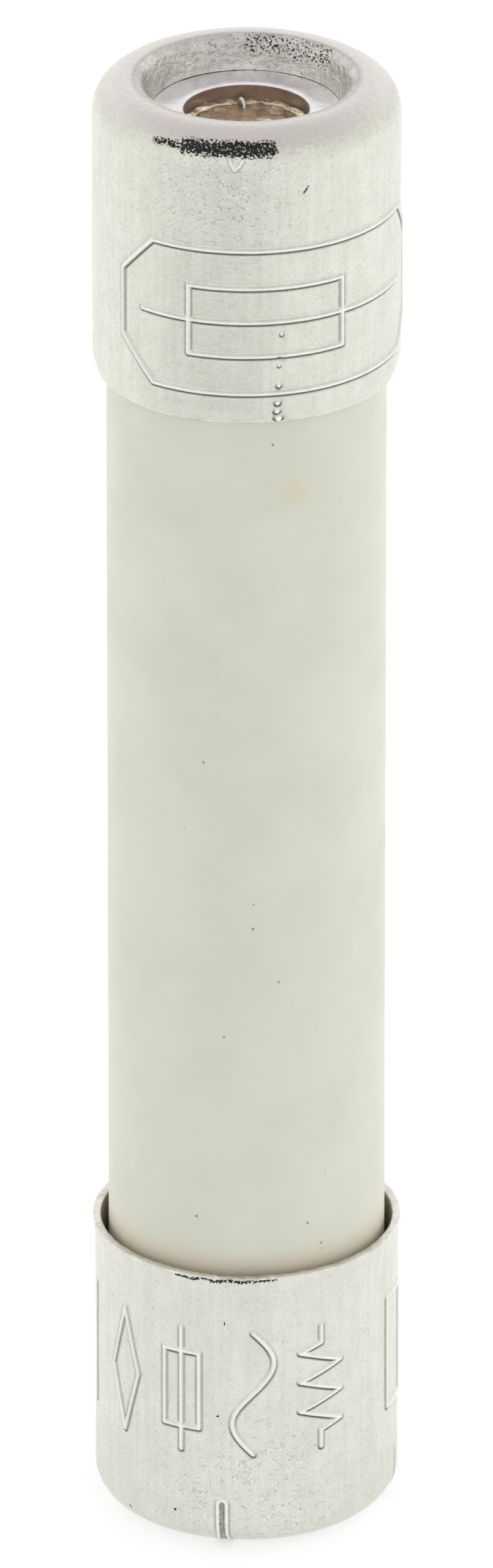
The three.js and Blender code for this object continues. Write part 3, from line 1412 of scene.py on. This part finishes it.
@dataclass
class EndCap:
    """A cup of thin plated sheet, its end rolled inwards into a lip. Lengths are in mm.

    Attributes:
        end: Which end it closes.
        mouth_bend: How far its mouth is bent outwards.
        burr: How ragged the edge of its mouth is.
        split: How much finer its cells are near marks.
        wall: Thickness of the sheet.
        length: Length of the cap.
        corner: Radius of its rounded corner.
        crest_flat: Width of the flat ring on its crest.
        lip: Radius of the rolled lip.
        lip_turn: Angle that the lip is rolled through.
        seat: Depth at which the lip ends, on the contact ring.
        mouth_run: Length of cap that the bend at its mouth takes.
        rim: Radius of the sheet's edges at the mouth.
        step: Length of the mesh's cells.
        columns: Number of cells round the cap.
        plating: Finish of its outside.
    """

    end: End
    mouth_bend: float
    burr: float
    split: int
    wall: float = 0.18
    length: float = 6.35
    corner: float = 0.72
    crest_flat: float = 0.1
    lip: float = 0.24
    lip_turn: float = math.radians(70)
    seat: float = 0.67
    mouth_run: float = 0.4
    rim: float = 0.035
    step: float = 0.085
    columns: int = 234
    plating: Plating = CAP_PLATING

    @property
    def radius(self) -> float:
        """Outer radius of its round side."""
        return half_width(self.end.node("end_cap")) - max(self.mouth_bend, 0)

    def bent(self, depth: float) -> float:
        """Gives how far the sheet is bent outwards at a depth in from the crest."""
        share = min(1.0, (self.length - depth) / self.mouth_run)
        return self.mouth_bend * (1 - share * share * (3 - 2 * share))

    def side(self, radius: float, start: float, end: float, step: float) -> list[Point]:
        """Lays points along the round side of the sheet.

        Args:
            radius: Radius of the side.
            start: Height of the first point, negative inwards from the crest.
            end: Height of the last point.
            step: Longest step between points.

        Returns:
            The points.
        """
        return [
            (r + self.bent(-height), height)
            for r, height in line((radius, start), (radius, end), step)
        ]

    def outline(self) -> Outline:
        """Gives the section of the sheet, heights negative inwards from the crest."""
        turned = QUARTER + self.lip_turn
        crest = self.radius - self.corner
        roll = crest - self.crest_flat
        inner = self.radius - self.wall
        mouth = -self.length
        bend = self.bent(self.length)
        rim = self.rim
        outline = Outline()
        edge = arc((inner + bend + rim, mouth + rim), rim, 2 * QUARTER, 3 * QUARTER, 2)
        outline.add(edge, Zone.EDGE)
        edge = arc((self.radius + bend - rim, mouth + rim), rim, -QUARTER, 0, 2)
        outline.add(edge, Zone.EDGE)
        along = outline.add(
            self.side(self.radius, mouth + rim, -self.corner, self.step), Zone.OUTSIDE, rim
        )
        along = outline.add(
            arc((crest, -self.corner), self.corner, 0, QUARTER, 15), Zone.OUTSIDE, along
        )
        along = outline.add([(crest, 0), (roll, 0)], Zone.OUTSIDE, along)
        throat = arc((roll, -self.lip), self.lip, QUARTER, turned, 10)
        along = outline.add(throat[:3], Zone.OUTSIDE, along)
        along = outline.add(throat[2:], Zone.INSIDE, along)
        end = throat[-1][0] - (throat[-1][1] + self.seat) / math.tan(self.lip_turn)
        outline.add(line(throat[-1], (end, -self.seat), self.step), Zone.INSIDE, along)
        back = arc((roll, -self.lip), self.lip - self.wall, turned, QUARTER, 6)
        outline.add([(end, -self.seat), (end + self.wall, -self.seat)], Zone.INSIDE)
        outline.add([(end + self.wall, -self.seat), *back], Zone.INSIDE)
        corner = arc((crest, -self.corner), self.corner - self.wall, QUARTER, 0, 8)
        outline.add(corner, Zone.INSIDE)
        outline.add(self.side(inner, -self.corner, mouth + rim, 0.35)[:-1], Zone.INSIDE)
        return outline

    def spot(self, degrees: float, height: float) -> Point:
        """Gives a place on the unrolled side.

        Args:
            degrees: Angle round the axis, from the front.
            height: Height above the floor.

        Returns:
            Distance round the cap, and distance from its mouth.
        """
        mouth = self.end.height(self.length)
        return self.radius * math.radians(degrees), abs(height - mouth)

    def marks(self) -> list[Mark]:
        """Lists the marks on the cap's outside."""
        return []

    def uneven(self, patch: Patch) -> np.ndarray:
        """Gives the sheet's soft dents, and the burr along its mouth.

        Args:
            patch: Points of the surface.

        Returns:
            How far each point moves out.
        """
        points = patch.positions()
        depth = np.abs(patch.height - self.end.crest)
        dents = 0.006 * clouds(points, 1.7, 3.1) + 0.0018 * clouds(points, 0.4, 8.4)
        at_mouth = rising(depth, self.length - 0.09, self.length - 0.01)
        front = 0.35 + 0.65 * np.exp(-(((patch.angle + 0.14) / 0.42) ** 2))
        ragged = clouds(points, 0.09, 5.7) + 0.6 * clouds(points, 0.3, 2.2)
        return dents + self.burr * at_mouth * front * ragged

    def cut(self, piece: bpy.types.Object) -> None:
        """Cuts openings into the finished sheet, of which a plain cap has none."""

    def build(self) -> bpy.types.Object:
        """Makes the cap.

        Returns:
            The piece.
        """
        turning = Turning(
            self.outline().raised(lambda height: self.end.height(-height)),
            self.columns,
            self.uneven,
            self.marks(),
            self.split,
            self.radius,
        )
        name = self.end.node("pressed_cap")
        # The mouth's rim takes the brighter edge plating, a painted highlight.
        finishes = [self.plating, FUNNEL_PLATING, EDGE_HIGHLIGHT_PLATING]
        piece = piece_from(name, turning.mesh(name), finishes)
        self.cut(piece)
        smooth(piece.data)
        hand_over(piece, self.end.node("end_cap"))
        return piece


@dataclass
class UpperCap(EndCap):
    """The upper cap: its mouth hugs the tube, and a plate with the fuse's sign is raised
    on its side.

    Attributes:
        plate_middle: Angle of the plate's middle round the axis, in degrees.
        plate_height: Height of its middle above the floor, in mm.
        plate_size: Width round the cap, and height, in mm.
        chamfer: Length cut off at its corners, in mm.
        pits: Angle in degrees, height and half width of each pit in the row of pits.
        dark_reflection_line: Middle of the painted reflection, a dark band on the lip's front:
            angles, and distances from the mouth.
        tail_line: Middle of its thin tail.
        back_shade_line: Middle of the band of painted shade at the back of the throat.
    """

    plate_middle: float = 19.5
    plate_height: float = 27.93
    plate_size: Point = (7.92, 3.15)
    chamfer: float = 0.85
    pits: Sequence[tuple[float, float, float]] = (
        (12.1, 25.75, 0.07),
        (11.4, 25.93, 0.055),
        (11.5, 26.13, 0.05),
        (12.0, 26.51, 0.042),
        (12.1, 26.95, 0.028),
        (12.2, 27.19, 0.03),
        (13.1, 27.64, 0.032),
    )
    dark_reflection_line: Sequence[Point] = ((-24.0, 6.07), (-12.0, 6.08), (0.0, 6.08), (9.0, 6.08))
    tail_line: Sequence[Point] = ((-37.0, 6.03), (-24.0, 6.06))
    back_shade_line: Sequence[Point] = ((178.0, 7.15), (155.0, 7.2), (130.0, 7.15))

    def marks(self) -> list[Mark]:
        """Lists the plate and its sign, the pits, a drop, a nick, the painted dark reflection and
        the painted shade at the back of the throat.
        """
        middle = self.spot(self.plate_middle, self.plate_height)
        centre = self.spot(8, self.plate_height)
        around, up = centre
        sign = [
            plate(middle, *self.plate_size, self.chamfer),
            plate(centre, 3.3, 1.5),
            [(around - 2.75, up), (around + 3.6, up)],
        ]
        # Pits, with painted shade at their sides and a painted highlight in their middle.
        pits = [
            Mark(
                [[self.spot(angle, height)]],
                Section(size, 0.7 * size, -0.3 * size, painted_shading=2.0, painted_highlight=1.2),
            )
            for angle, height, size in self.pits
        ]
        # A raised drop, with painted shade on its lower side and a painted highlight on its
        # crest.
        drip = Section(width=0.028, rise=0.024, foot=-0.008, painted_shading=0.9, painted_highlight=0.8)
        drop = [(-0.35, 5.90), (-0.315, 5.75), (-0.243, 5.63), (-0.143, 5.73), (-0.072, 5.86)]
        # Painted reflection: a dark band on the lip's front, with a thin tail, given painted
        # glints by the plating's sparks.
        dark_reflection = Section(width=0.2, rise=-0.004, stain_and_shade=1.0)
        thin = Section(width=0.1, rise=-0.003, stain_and_shade=0.8)
        band = [(self.radius * math.radians(a), v) for a, v in self.dark_reflection_line]
        tail = [(self.radius * math.radians(a), v) for a, v in self.tail_line]
        nick = Section(width=0.03, rise=-0.012, stain_and_shade=0.8)
        # Painted shade at the back of the throat.
        dark_stain_and_shade = Section(width=0.3, rise=0.0, stain_and_shade=0.44)
        back_shade = [(self.radius * math.radians(a), v) for a, v in self.back_shade_line]
        return [
            Mark(sign, RIDGE),
            *pits,
            Mark([drop], drip),
            Mark([band], dark_reflection),
            Mark([tail], thin),
            Mark([back_shade], dark_stain_and_shade),
            Mark([[self.spot(21.7, 30.72), self.spot(23.5, 30.85)]], nick),
        ]


@dataclass
class LowerCap(EndCap):
    """The lower cap: its mouth stands off the tube, signs are raised on its side, and its
    corner is slit.

    Attributes:
        sign_height: Height of the signs' middle above the floor, in mm.
        sign_tall: Their height, in mm.
        sign_wide: Their width, in mm.
        slits: Number of slits.
        slit_angle: Angle of the first slit round the axis, in degrees.
        slit_width: Width of a slit, in mm.
        slit_top: Height of its round end, in mm.
        slit_depth: How far in from the outside of the cap it reaches, in mm.
        flare: How much wider it is on each side at the floor, in mm.
        flare_top: Height at which that starts, in mm.
        foot_shadow_angle: Angle of the painted contact shadow at its foot, in degrees.
        tear: Torn line at its mouth: angles in degrees, and distances from the mouth.
    """

    sign_height: float = 3.65
    sign_tall: float = 2.80
    sign_wide: float = 0.92
    slits: int = 4
    slit_angle: float = -9.3
    slit_width: float = 0.1
    slit_top: float = 1.12
    slit_depth: float = 0.6
    flare: float = 0.11
    flare_top: float = 0.32
    foot_shadow_angle: float = -51.0
    tear: Sequence[Point] = (
        (-27, 0.04),
        (-21, 0.1),
        (-17, 0.04),
        (-12, 0.11),
        (-7, 0.05),
        (-2, 0.09),
        (11, 0.04),
    )
    plating: Plating = LOWER_LIT_PLATING

    def slit_side(self, height: float, extra: float = 0.0) -> float:
        """Gives a slit's half width at a height, with something added to it."""
        share = max(0.0, 1 - height / self.flare_top)
        return self.slit_width / 2 + extra + self.flare * share * share

    def slit_shape(self, low: float, extra: float = 0.0) -> list[Point]:
        """Draws a slit, from its foot on one side over its round end to the other foot.

        Args:
            low: Height of its feet.
            extra: Distance that the line lies outside the slit.

        Returns:
            Points along it: distance to the side, and height.
        """
        heights = [low, *(self.flare_top * share for share in (0.3, 0.6, 1.0))]
        half = self.slit_width / 2
        up = [(self.slit_side(height, extra), height) for height in heights]
        over = arc((0, self.slit_top - half), half + extra, 0, 2 * QUARTER, 6)
        return [*up, *over, *((-side, height) for side, height in reversed(up))]

    def slit_angles(self) -> list[float]:
        """Lists the slits' angles round the axis, in radians."""
        first = math.radians(self.slit_angle)
        return [first + 2 * math.pi * i / self.slits for i in range(self.slits)]

    def distance_along(self, height: float) -> float:
        """Gives the distance from the mouth over the outside, for a height.

        Args:
            height: Height above the floor.

        Returns:
            Distance along the sheet.
        """
        straight = self.length - self.corner
        if height > self.corner:
            return self.length - height
        return straight + self.corner * math.asin(1 - height / self.corner)

    def marks(self) -> list[Mark]:
        """Lists the raised signs, the slits' rims, a few dark specks, a torn line and a painted
        contact shadow.
        """
        tall, wide = self.sign_tall, self.sign_wide

        def at(degrees: float) -> Point:
            """Gives the middle of a sign."""
            return self.spot(degrees, self.sign_height)

        around, up = at(-25.5)
        fuse = [
            plate((around, up), wide * 0.86, tall * 0.62),
            [(around, up - tall / 2), (around, up + tall / 2)],
        ]
        signs = [
            diamond(at(-53), wide * 0.9, tall),
            *fuse,
            wave(at(2.5), wide * 0.95, tall),
            zigzag(at(29.5), wide * 1.05, tall, 6),
            plate(at(76), wide, tall * 0.9),
            [self.spot(-80, 2.3), self.spot(-80, 5.0)],
        ]
        rims = [
            [
                (self.radius * angle + side, self.distance_along(height))
                for side, height in self.slit_shape(0.08, 0.045)
            ]
            for angle in self.slit_angles()
        ]
        speck = Section(width=0.022, rise=-0.01, stain_and_shade=1.0)
        specks = [
            [self.spot(-8.2, 5.25), self.spot(-8.2, 5.29)],
            [self.spot(-11.3, 3.11), self.spot(-10.7, 3.14)],
            [self.spot(-28.4, 0.79), self.spot(-27.6, 0.8)],
        ]
        # Burrs round the slits, with painted shade on their lower sides and a painted highlight
        # on their crests.
        burr = Section(width=0.036, rise=0.03, foot=-0.006, painted_shading=1.6, painted_highlight=1.0)
        # Painted contact shadow at the cap's foot, where it meets the floor.
        foot_shadow = Section(width=0.05, rise=-0.01, stain_and_shade=0.9)
        torn = Section(width=0.045, rise=0.0, stain_and_shade=0.9)
        ragged = [[(self.radius * math.radians(angle), along) for angle, along in self.tear]]
        foot_shadow_spot = (self.radius * math.radians(self.foot_shadow_angle), self.distance_along(0.46))
        return [
            Mark(ragged, torn),
            Mark(signs, FINE_RIDGE),
            Mark(rims, burr),
            Mark(specks, speck),
            Mark([[foot_shadow_spot]], foot_shadow),
        ]

    def cutters(self) -> bpy.types.Object:
        """Makes one object that holds the blades of all the slits."""
        shape = self.slit_shape(-0.1)
        reach = (self.radius - self.slit_depth, self.radius + 0.3)
        points: list[Point] = []
        faces: list[list[int]] = []
        for angle in self.slit_angles():
            across = np.array([math.cos(angle), math.sin(angle), 0])
            out = np.array([math.sin(angle), -math.cos(angle), 0])
            first, count = len(points), len(shape)
            for radius in reach:
                for side, height in shape:
                    spot = out * radius + across * side + np.array([0, 0, height])
                    points.append(tuple(spot * MM))
            near = list(range(first, first + count))
            far = list(range(first + count, first + 2 * count))
            faces += [near, far[::-1]]
            for k in range(count):
                after = (k + 1) % count
                faces.append([near[after], near[k], far[k], far[after]])
        mesh = bpy.data.meshes.new("slit_blades")
        mesh.from_pydata(points, [], faces)
        mesh.polygons.foreach_set("material_index", [int(Zone.INSIDE)] * len(faces))
        # The slits' cut walls are painted dark, as painted shade inside the slits, with painted
        # glints from the sparks.
        for layer, value in ((STAIN_AND_SHADE, 2.0), (PAINTED_SHADING, 0.0)):
            values = [value] * len(points)
            mesh.attributes.new(layer, "FLOAT", "POINT").data.foreach_set("value", values)
        mesh.update()
        return piece_from("slit_blades", mesh, [self.plating, FUNNEL_PLATING, EDGE_HIGHLIGHT_PLATING])

    def cut(self, piece: bpy.types.Object) -> None:
        """Cuts the slits.

        Args:
            piece: The cap.
        """
        blades = self.cutters()
        modifier = piece.modifiers.new("slits", "BOOLEAN")
        modifier.operation = "DIFFERENCE"
        modifier.solver = "MANIFOLD"
        modifier.object = blades
        apply_modifiers(piece)
        bpy.data.objects.remove(blades)


@dataclass
class Contact:
    """What closes one end inside its cap: ring, solder and flux. Lengths are in mm.

    Attributes:
        end: Which end it is.
        seat_gap: Gap between faces that press on each other.
        edge: Radius of the ring's edges.
        solder_rise: Height of the solder's lumps.
        film: Thickness of the flux.
        bubbles: Bubbles in the flux: distance right and back, radius and height.
    """

    end: End
    seat_gap: float = 0.01
    edge: float = 0.05
    solder_rise: float = 0.03
    film: float = 0.055
    bubbles: Sequence[tuple[float, float, float, float]] = (
        (0.62, 0.74, 0.16, 0.10),
        (0.25, 0.98, 0.12, 0.06),
        (-0.55, 0.80, 0.15, 0.06),
        (-0.85, 0.45, 0.13, 0.05),
        (0.35, 0.25, 0.18, 0.05),
        (-0.1, 0.05, 0.22, 0.05),
    )

    def depths(self, piece: str) -> Point:
        """Gives the depths at which a CAD piece of this end starts and ends.

        Args:
            piece: Name of the piece without its end.

        Returns:
            Least and greatest depth in from the crest.
        """
        low, high = box_mm(self.end.node(piece))
        depths = sorted(abs(z - self.end.crest) for z in (low.z, high.z))
        return depths[0], depths[1]

    @property
    def hole(self) -> float:
        """Radius of the ring's hole."""
        return half_width(self.end.node("flux_residue")) + self.seat_gap

    def turned(
        self, name: str, outline: Outline, texture: Texture, finishes: Sequence[Finish]
    ) -> bpy.types.Object:
        """Turns a piece of this end.

        Args:
            name: Its name without the end.
            outline: Its section, heights negative inwards from the crest.
            texture: Gives how far its points move.
            finishes: Finishes of its zones.

        Returns:
            The piece.
        """
        raised = outline.raised(lambda height: self.end.height(-height))
        mesh = Turning(raised, 144, texture).mesh(name)
        smooth(mesh)
        return piece_from(self.end.node(name), mesh, finishes)

    def ring(self) -> bpy.types.Object:
        """Makes the flat contact ring, its hole stained by the solder."""
        face, back = (-depth for depth in self.depths("contact_ring"))
        rim = half_width(self.end.node("contact_ring"))
        hole, edge = self.hole, self.edge
        outline = Outline()
        half_turn = 2 * QUARTER
        low = arc((hole + edge, back + edge), edge, half_turn, 3 * QUARTER, 3)
        outline.add(low, Zone.OUTSIDE)
        outline.add(arc((rim - edge, back + edge), edge, -QUARTER, 0, 3), Zone.OUTSIDE)
        outline.add(arc((rim - edge, face - edge), edge, 0, QUARTER, 3), Zone.OUTSIDE)
        outline.add(line((rim - edge, face), (hole + edge, face), 0.1), Zone.OUTSIDE)
        outline.add(arc((hole + edge, face - edge), edge, QUARTER, half_turn, 4), Zone.OUTSIDE)
        wall = line((hole, face - edge), (hole, back + edge), 0.06)
        outline.add(wall[:-1], Zone.INSIDE)

        def dents(patch: Patch) -> np.ndarray:
            """Gives the ring's soft dents."""
            points = patch.positions()
            return 0.007 * clouds(points, 0.8, 1.3) + 0.003 * clouds(points, 0.2, 4.4)

        return self.turned("silvered_ring", outline, dents, [RING_SILVER, HOLE_WALL])

    def solder(self) -> bpy.types.Object:
        """Makes the solder that fills the bottom of the ring's hole."""
        face, back = (-depth for depth in self.depths("solder_joint"))
        shoulder = -self.depths("contact_ring")[1] - self.seat_gap
        neck = self.hole - self.seat_gap
        spread = half_width(self.end.node("solder_joint"))
        outline = Outline()
        outline.add([(0, back)], Zone.OUTSIDE)
        outline.add(arc((spread - 0.12, back + 0.12), 0.12, -QUARTER, 0, 4), Zone.OUTSIDE)
        outline.add([(spread, shoulder), (neck, shoulder)], Zone.OUTSIDE)
        outline.add(line((neck, shoulder), (neck, face), 0.12), Zone.OUTSIDE)
        outline.add(line((neck, face), (0, face), 0.045), Zone.OUTSIDE)

        def lumps(patch: Patch) -> np.ndarray:
            """Gives the lumps on the solder's face.

            Args:
                patch: Points of the turned solder.

            Returns:
                Height of each point above the smooth solder.
            """
            points = patch.positions()
            shown = rising(-np.abs(patch.height - self.end.height(-face)), -0.02, 0.0)
            inside = rising(neck - patch.radius, 0.0, 0.12)
            rough = clouds(points, 0.33, 6.1) + 0.4 * clouds(points, 0.12, 2.6)
            return self.solder_rise * shown * inside * rough

        return self.turned("solder_fill", outline, lumps, [COPPER_SOLDER])

    def flux(self) -> bpy.types.Object:
        """Makes the flux on the solder, with a wavy rim and bubbles."""
        top, bottom = (-depth for depth in self.depths("flux_residue"))
        rim = half_width(self.end.node("flux_residue"))
        level = bottom + self.film
        climb = [
            (rim - 0.26 * (1 - share), level + (top - level) * share**2.2)
            for share in (0.0, 0.2, 0.4, 0.6, 0.8, 1.0)
        ]
        outline = Outline()
        outline.add(line((0, bottom), (rim, bottom), 0.2), Zone.OUTSIDE)
        outline.add([(rim, bottom), climb[-1]], Zone.OUTSIDE)
        outline.add(climb[::-1], Zone.OUTSIDE)
        outline.add(line(climb[0], (0, level), 0.045), Zone.OUTSIDE)
        side = 1 if self.end is End.UPPER else -1

        def skin(patch: Patch) -> np.ndarray:
            """Gives the waves and bubbles on the flux.

            Args:
                patch: Points of the turned flux.

            Returns:
                Height of each point above the smooth flux.
            """
            points = patch.positions()
            depth = np.abs(patch.height - self.end.height(-bottom))
            shown = rising(depth, 0.02, 0.05)
            near_wall = rising(patch.radius, rim - 0.42, rim - 0.08)
            moved = 0.05 * near_wall * clouds(points, 0.24, 9.2)
            moved += 0.012 * clouds(points, 0.3, 7.7)
            for right, behind, radius, height in self.bubbles:
                gap = np.hypot(points[:, 0] - right, points[:, 1] - side * behind)
                moved += height * np.sqrt(np.clip(1 - (gap / radius) ** 2, 0, 1))
            return moved * shown

        return self.turned("rosin_pool", outline, skin, [AMBER_ROSIN])

    def build(self) -> None:
        """Makes the ring, the solder and the flux."""
        hand_over(self.ring(), self.end.node("contact_ring"))
        hand_over(self.solder(), self.end.node("solder_joint"))
        hand_over(self.flux(), self.end.node("flux_residue"))


@dataclass
class CeramicBody:
    """The ceramic tube. Lengths are in mm.

    Attributes:
        bore: Radius of its bore.
        edge: Radius of its edges.
        specks: Angle in degrees, height and half width of each dark speck in it.
    """

    bore: float = 2.0
    edge: float = 0.12
    specks: Sequence[tuple[float, float, float]] = (
        (10.7, 25.07, 0.028),
        (-17.9, 17.91, 0.026),
        (2.9, 14.75, 0.02),
        (2.6, 14.2, 0.03),
        (13.4, 12.95, 0.026),
        (-9.3, 11.72, 0.024),
        (-21.1, 7.54, 0.03),
        (26.2, 7.33, 0.03),
        (32.5, 6.8, 0.026),
        (33.0, 6.66, 0.016),
        (141.0, 21.3, 0.03),
        (-122.0, 12.4, 0.028),
        (170.0, 9.9, 0.03),
    )

    def build(self) -> None:
        """Makes the tube."""
        low, high = box_mm("ceramic_tube")
        radius = half_width("ceramic_tube")
        bore, edge, half_turn = self.bore, self.edge, 2 * QUARTER
        bottom, top = low.z + edge, high.z - edge
        outline = Outline()
        outline.add(arc((bore + edge, bottom), edge, half_turn, 3 * QUARTER, 4), Zone.OUTSIDE)
        outline.add(arc((radius - edge, bottom), edge, -QUARTER, 0, 4), Zone.OUTSIDE)
        side = line((radius, bottom), (radius, top), 0.16)
        outline.add(side, Zone.OUTSIDE, 0.0)
        outline.add(arc((radius - edge, top), edge, 0, QUARTER, 4), Zone.OUTSIDE)
        outline.add(arc((bore + edge, top), edge, QUARTER, half_turn, 4), Zone.OUTSIDE)
        outline.add(line((bore, top), (bore, bottom), 2.0)[:-1], Zone.OUTSIDE)
        marks = [
            Mark(
                [[(radius * math.radians(angle), height - bottom)]],
                Section(width, -0.4 * width, stain_and_shade=1.0),
            )
            for angle, height, width in self.specks
        ]

        def waves(patch: Patch) -> np.ndarray:
            """Gives the tube's slight unevenness."""
            return 0.004 * clouds(patch.positions(), 2.5, 0.7)

        turning = Turning(outline, 128, waves, marks, 8, radius)
        mesh = turning.mesh("ceramic_body")
        smooth(mesh)
        piece = piece_from("ceramic_body", mesh, [TUBE_CERAMIC])
        hand_over(piece, "ceramic_tube")


@dataclass
class FuseWire:
    """The wire that melts, with a hook at each end. Lengths are in mm.

    Attributes:
        radius: Radius of the wire.
        sides: Number of the mesh's sides.
        hook: Points of its upper end, z negative inwards from the crest.
    """

    radius: float = 0.05
    sides: int = 12
    hook: Sequence[tuple[float, float, float]] = (
        (0, 0, -3.49),
        (0, 0, -1.99),
        (0, 0, -1.63),
        (0, 0.08, -1.52),
        (0, 0.36, -1.40),
        (-0.02, 0.7, -1.28),
        (-0.04, 0.88, -1.13),
        (-0.06, 0.95, -1.0),
        (-0.11, 1.03, -0.94),
        (-0.16, 1.1, -1.02),
    )

    def build(self) -> None:
        """Makes the wire."""
        hook = [Vector(point) for point in self.hook]
        points = [End.LOWER.placed(point) for point in reversed(hook)]
        points += [End.UPPER.placed(point) for point in hook]
        mesh = swept(flowing(points, 6), self.radius, self.sides)
        smooth(mesh)
        piece = piece_from("tinned_fuse_wire", mesh, [WIRE_TIN])
        hand_over(piece, "fuse_wire")


@dataclass
class Filling:
    """What the tube holds: CAD solids whose shapes are right as they are.

    Attributes:
        finishes: Finish of each node.
    """

    finishes: dict[str, Finish] = field(
        default_factory=lambda: {
            "sand_filling": QUARTZ_SAND,
            "upper_sealing_washer": WASHER_FIBRE,
            "lower_sealing_washer": WASHER_FIBRE,
        }
    )

    def build(self) -> None:
        """Gives each node its finish."""
        for node, finish in self.finishes.items():
            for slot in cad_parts[node].material_slots:
                slot.link = "OBJECT"
                slot.material = finish.material()
            log.info("%s: kept, with %s", node, finish.name)


@dataclass
class Softbox:
    """A tall soft light beside the fuse.

    Attributes:
        azimuth: Angle round the axis, from the front, in degrees.
        power: Its power, in watts.
        distance: Distance from the axis, in metres.
        height: Height of its middle, in metres.
        size: Its width and height, in metres.
    """

    azimuth: float
    power: float
    distance: float = 0.16
    height: float = 0.05
    size: Point = (0.20, 0.24)

    def build(self) -> None:
        """Makes the light and turns it to the fuse."""
        data = bpy.data.lights.new("softbox", "AREA")
        data.shape = "RECTANGLE"
        data.size, data.size_y = self.size
        data.energy = self.power
        light = bpy.data.objects.new("softbox", data)
        light.visible_glossy = False
        bpy.context.scene.collection.objects.link(light)
        angle = math.radians(self.azimuth)
        spot = (math.sin(angle) * self.distance, -math.cos(angle) * self.distance)
        light.location = (*spot, self.height)
        aim = Vector((0, 0, 0.016)) - light.location
        light.rotation_euler = aim.to_track_quat("-Z", "Y").to_euler()


@dataclass
class Studio:
    """Camera, lights and floor. Lengths are in metres.

    Attributes:
        distance: Distance of the camera from the point that it looks at.
        elevation: Its angle above the horizon, in degrees.
        aim: Height of the point that it looks at.
        lens: Focal length, in millimetres.
        sensor: Width of the camera's sensor, in millimetres.
        clip: Nearest and furthest distance that the camera sees.
        floor: Half width of the floor.
        horizon: Light from the horizon.
        zenith: Light from straight above.
        sky_ramp: Where the light from the horizon starts to change, and where it ends.
        softboxes: The soft lights.
    """

    distance: float = 0.44877
    elevation: float = 25.086
    aim: float = 0.0161465
    lens: float = 500.0
    sensor: float = 36.0
    clip: Point = (0.01, 10.0)
    floor: float = 1.5
    horizon: Colour = (1.06, 1.045, 1.035)
    zenith: Colour = (0.74, 0.70, 0.72)
    sky_ramp: Point = (0.35, 0.85)
    softboxes: Sequence[Softbox] = (Softbox(-125, 0.09), Softbox(115, 0.11))

    def build(self) -> None:
        """Makes the whole studio."""
        self.camera()
        self.sky()
        self.ground()
        for softbox in self.softboxes:
            softbox.build()

    def camera(self) -> None:
        """Makes the camera."""
        data = bpy.data.cameras.new("camera")
        data.lens, data.sensor_width = self.lens, self.sensor
        data.clip_start, data.clip_end = self.clip
        camera = bpy.data.objects.new("camera", data)
        scene = bpy.context.scene
        scene.collection.objects.link(camera)
        angle = math.radians(self.elevation)
        out, up = self.distance * math.cos(angle), self.distance * math.sin(angle)
        camera.location = (0, -out, self.aim + up)
        look = Vector((0, 0, self.aim)) - camera.location
        camera.rotation_euler = look.to_track_quat("-Z", "Y").to_euler()
        scene.camera = camera
        scene.view_settings.view_transform = "Standard"

    def sky(self) -> None:
        """Lights the scene all round, brighter from the horizon than from above."""
        world = bpy.data.worlds.new("studio")
        bpy.context.scene.world = world
        world.use_nodes = True
        nodes, links = world.node_tree.nodes, world.node_tree.links
        place = nodes.new("ShaderNodeTexCoord")
        split = nodes.new("ShaderNodeSeparateXYZ")
        ramp = nodes.new("ShaderNodeMapRange")
        ramp.inputs["From Min"].default_value = self.sky_ramp[0]
        ramp.inputs["From Max"].default_value = self.sky_ramp[1]
        mix = nodes.new("ShaderNodeMix")
        mix.data_type = "RGBA"
        mix.inputs[6].default_value = (*self.horizon, 1.0)
        mix.inputs[7].default_value = (*self.zenith, 1.0)
        links.new(place.outputs["Generated"], split.inputs[0])
        links.new(split.outputs["Z"], ramp.inputs["Value"])
        links.new(ramp.outputs[0], mix.inputs[0])
        links.new(mix.outputs[2], nodes["Background"].inputs["Color"])

    def ground(self) -> None:
        """Makes the floor."""
        size = self.floor
        mesh = bpy.data.meshes.new("floor")
        corners = [(-size, -size, 0), (size, -size, 0), (size, size, 0), (-size, size, 0)]
        mesh.from_pydata(corners, [], [(0, 1, 2, 3)])
        piece_from("studio_floor", mesh, [FLOOR])


def main() -> None:
    """Builds the studio and then the fuse, from its body out to its caps."""
    logging.basicConfig(level=logging.INFO, format="%(message)s")
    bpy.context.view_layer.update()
    Studio().build()
    for assembly in (
        CeramicBody(),
        FuseWire(),
        Filling(),
        Contact(End.UPPER),
        Contact(End.LOWER),
        UpperCap(End.UPPER, mouth_bend=-0.085, burr=0.012, split=4),
        LowerCap(End.LOWER, mouth_bend=0.05, burr=0.03, split=3),
    ):
        assembly.build()
        log.info("%s is in place", type(assembly).__name__)


if __name__ == "__main__":
    main()
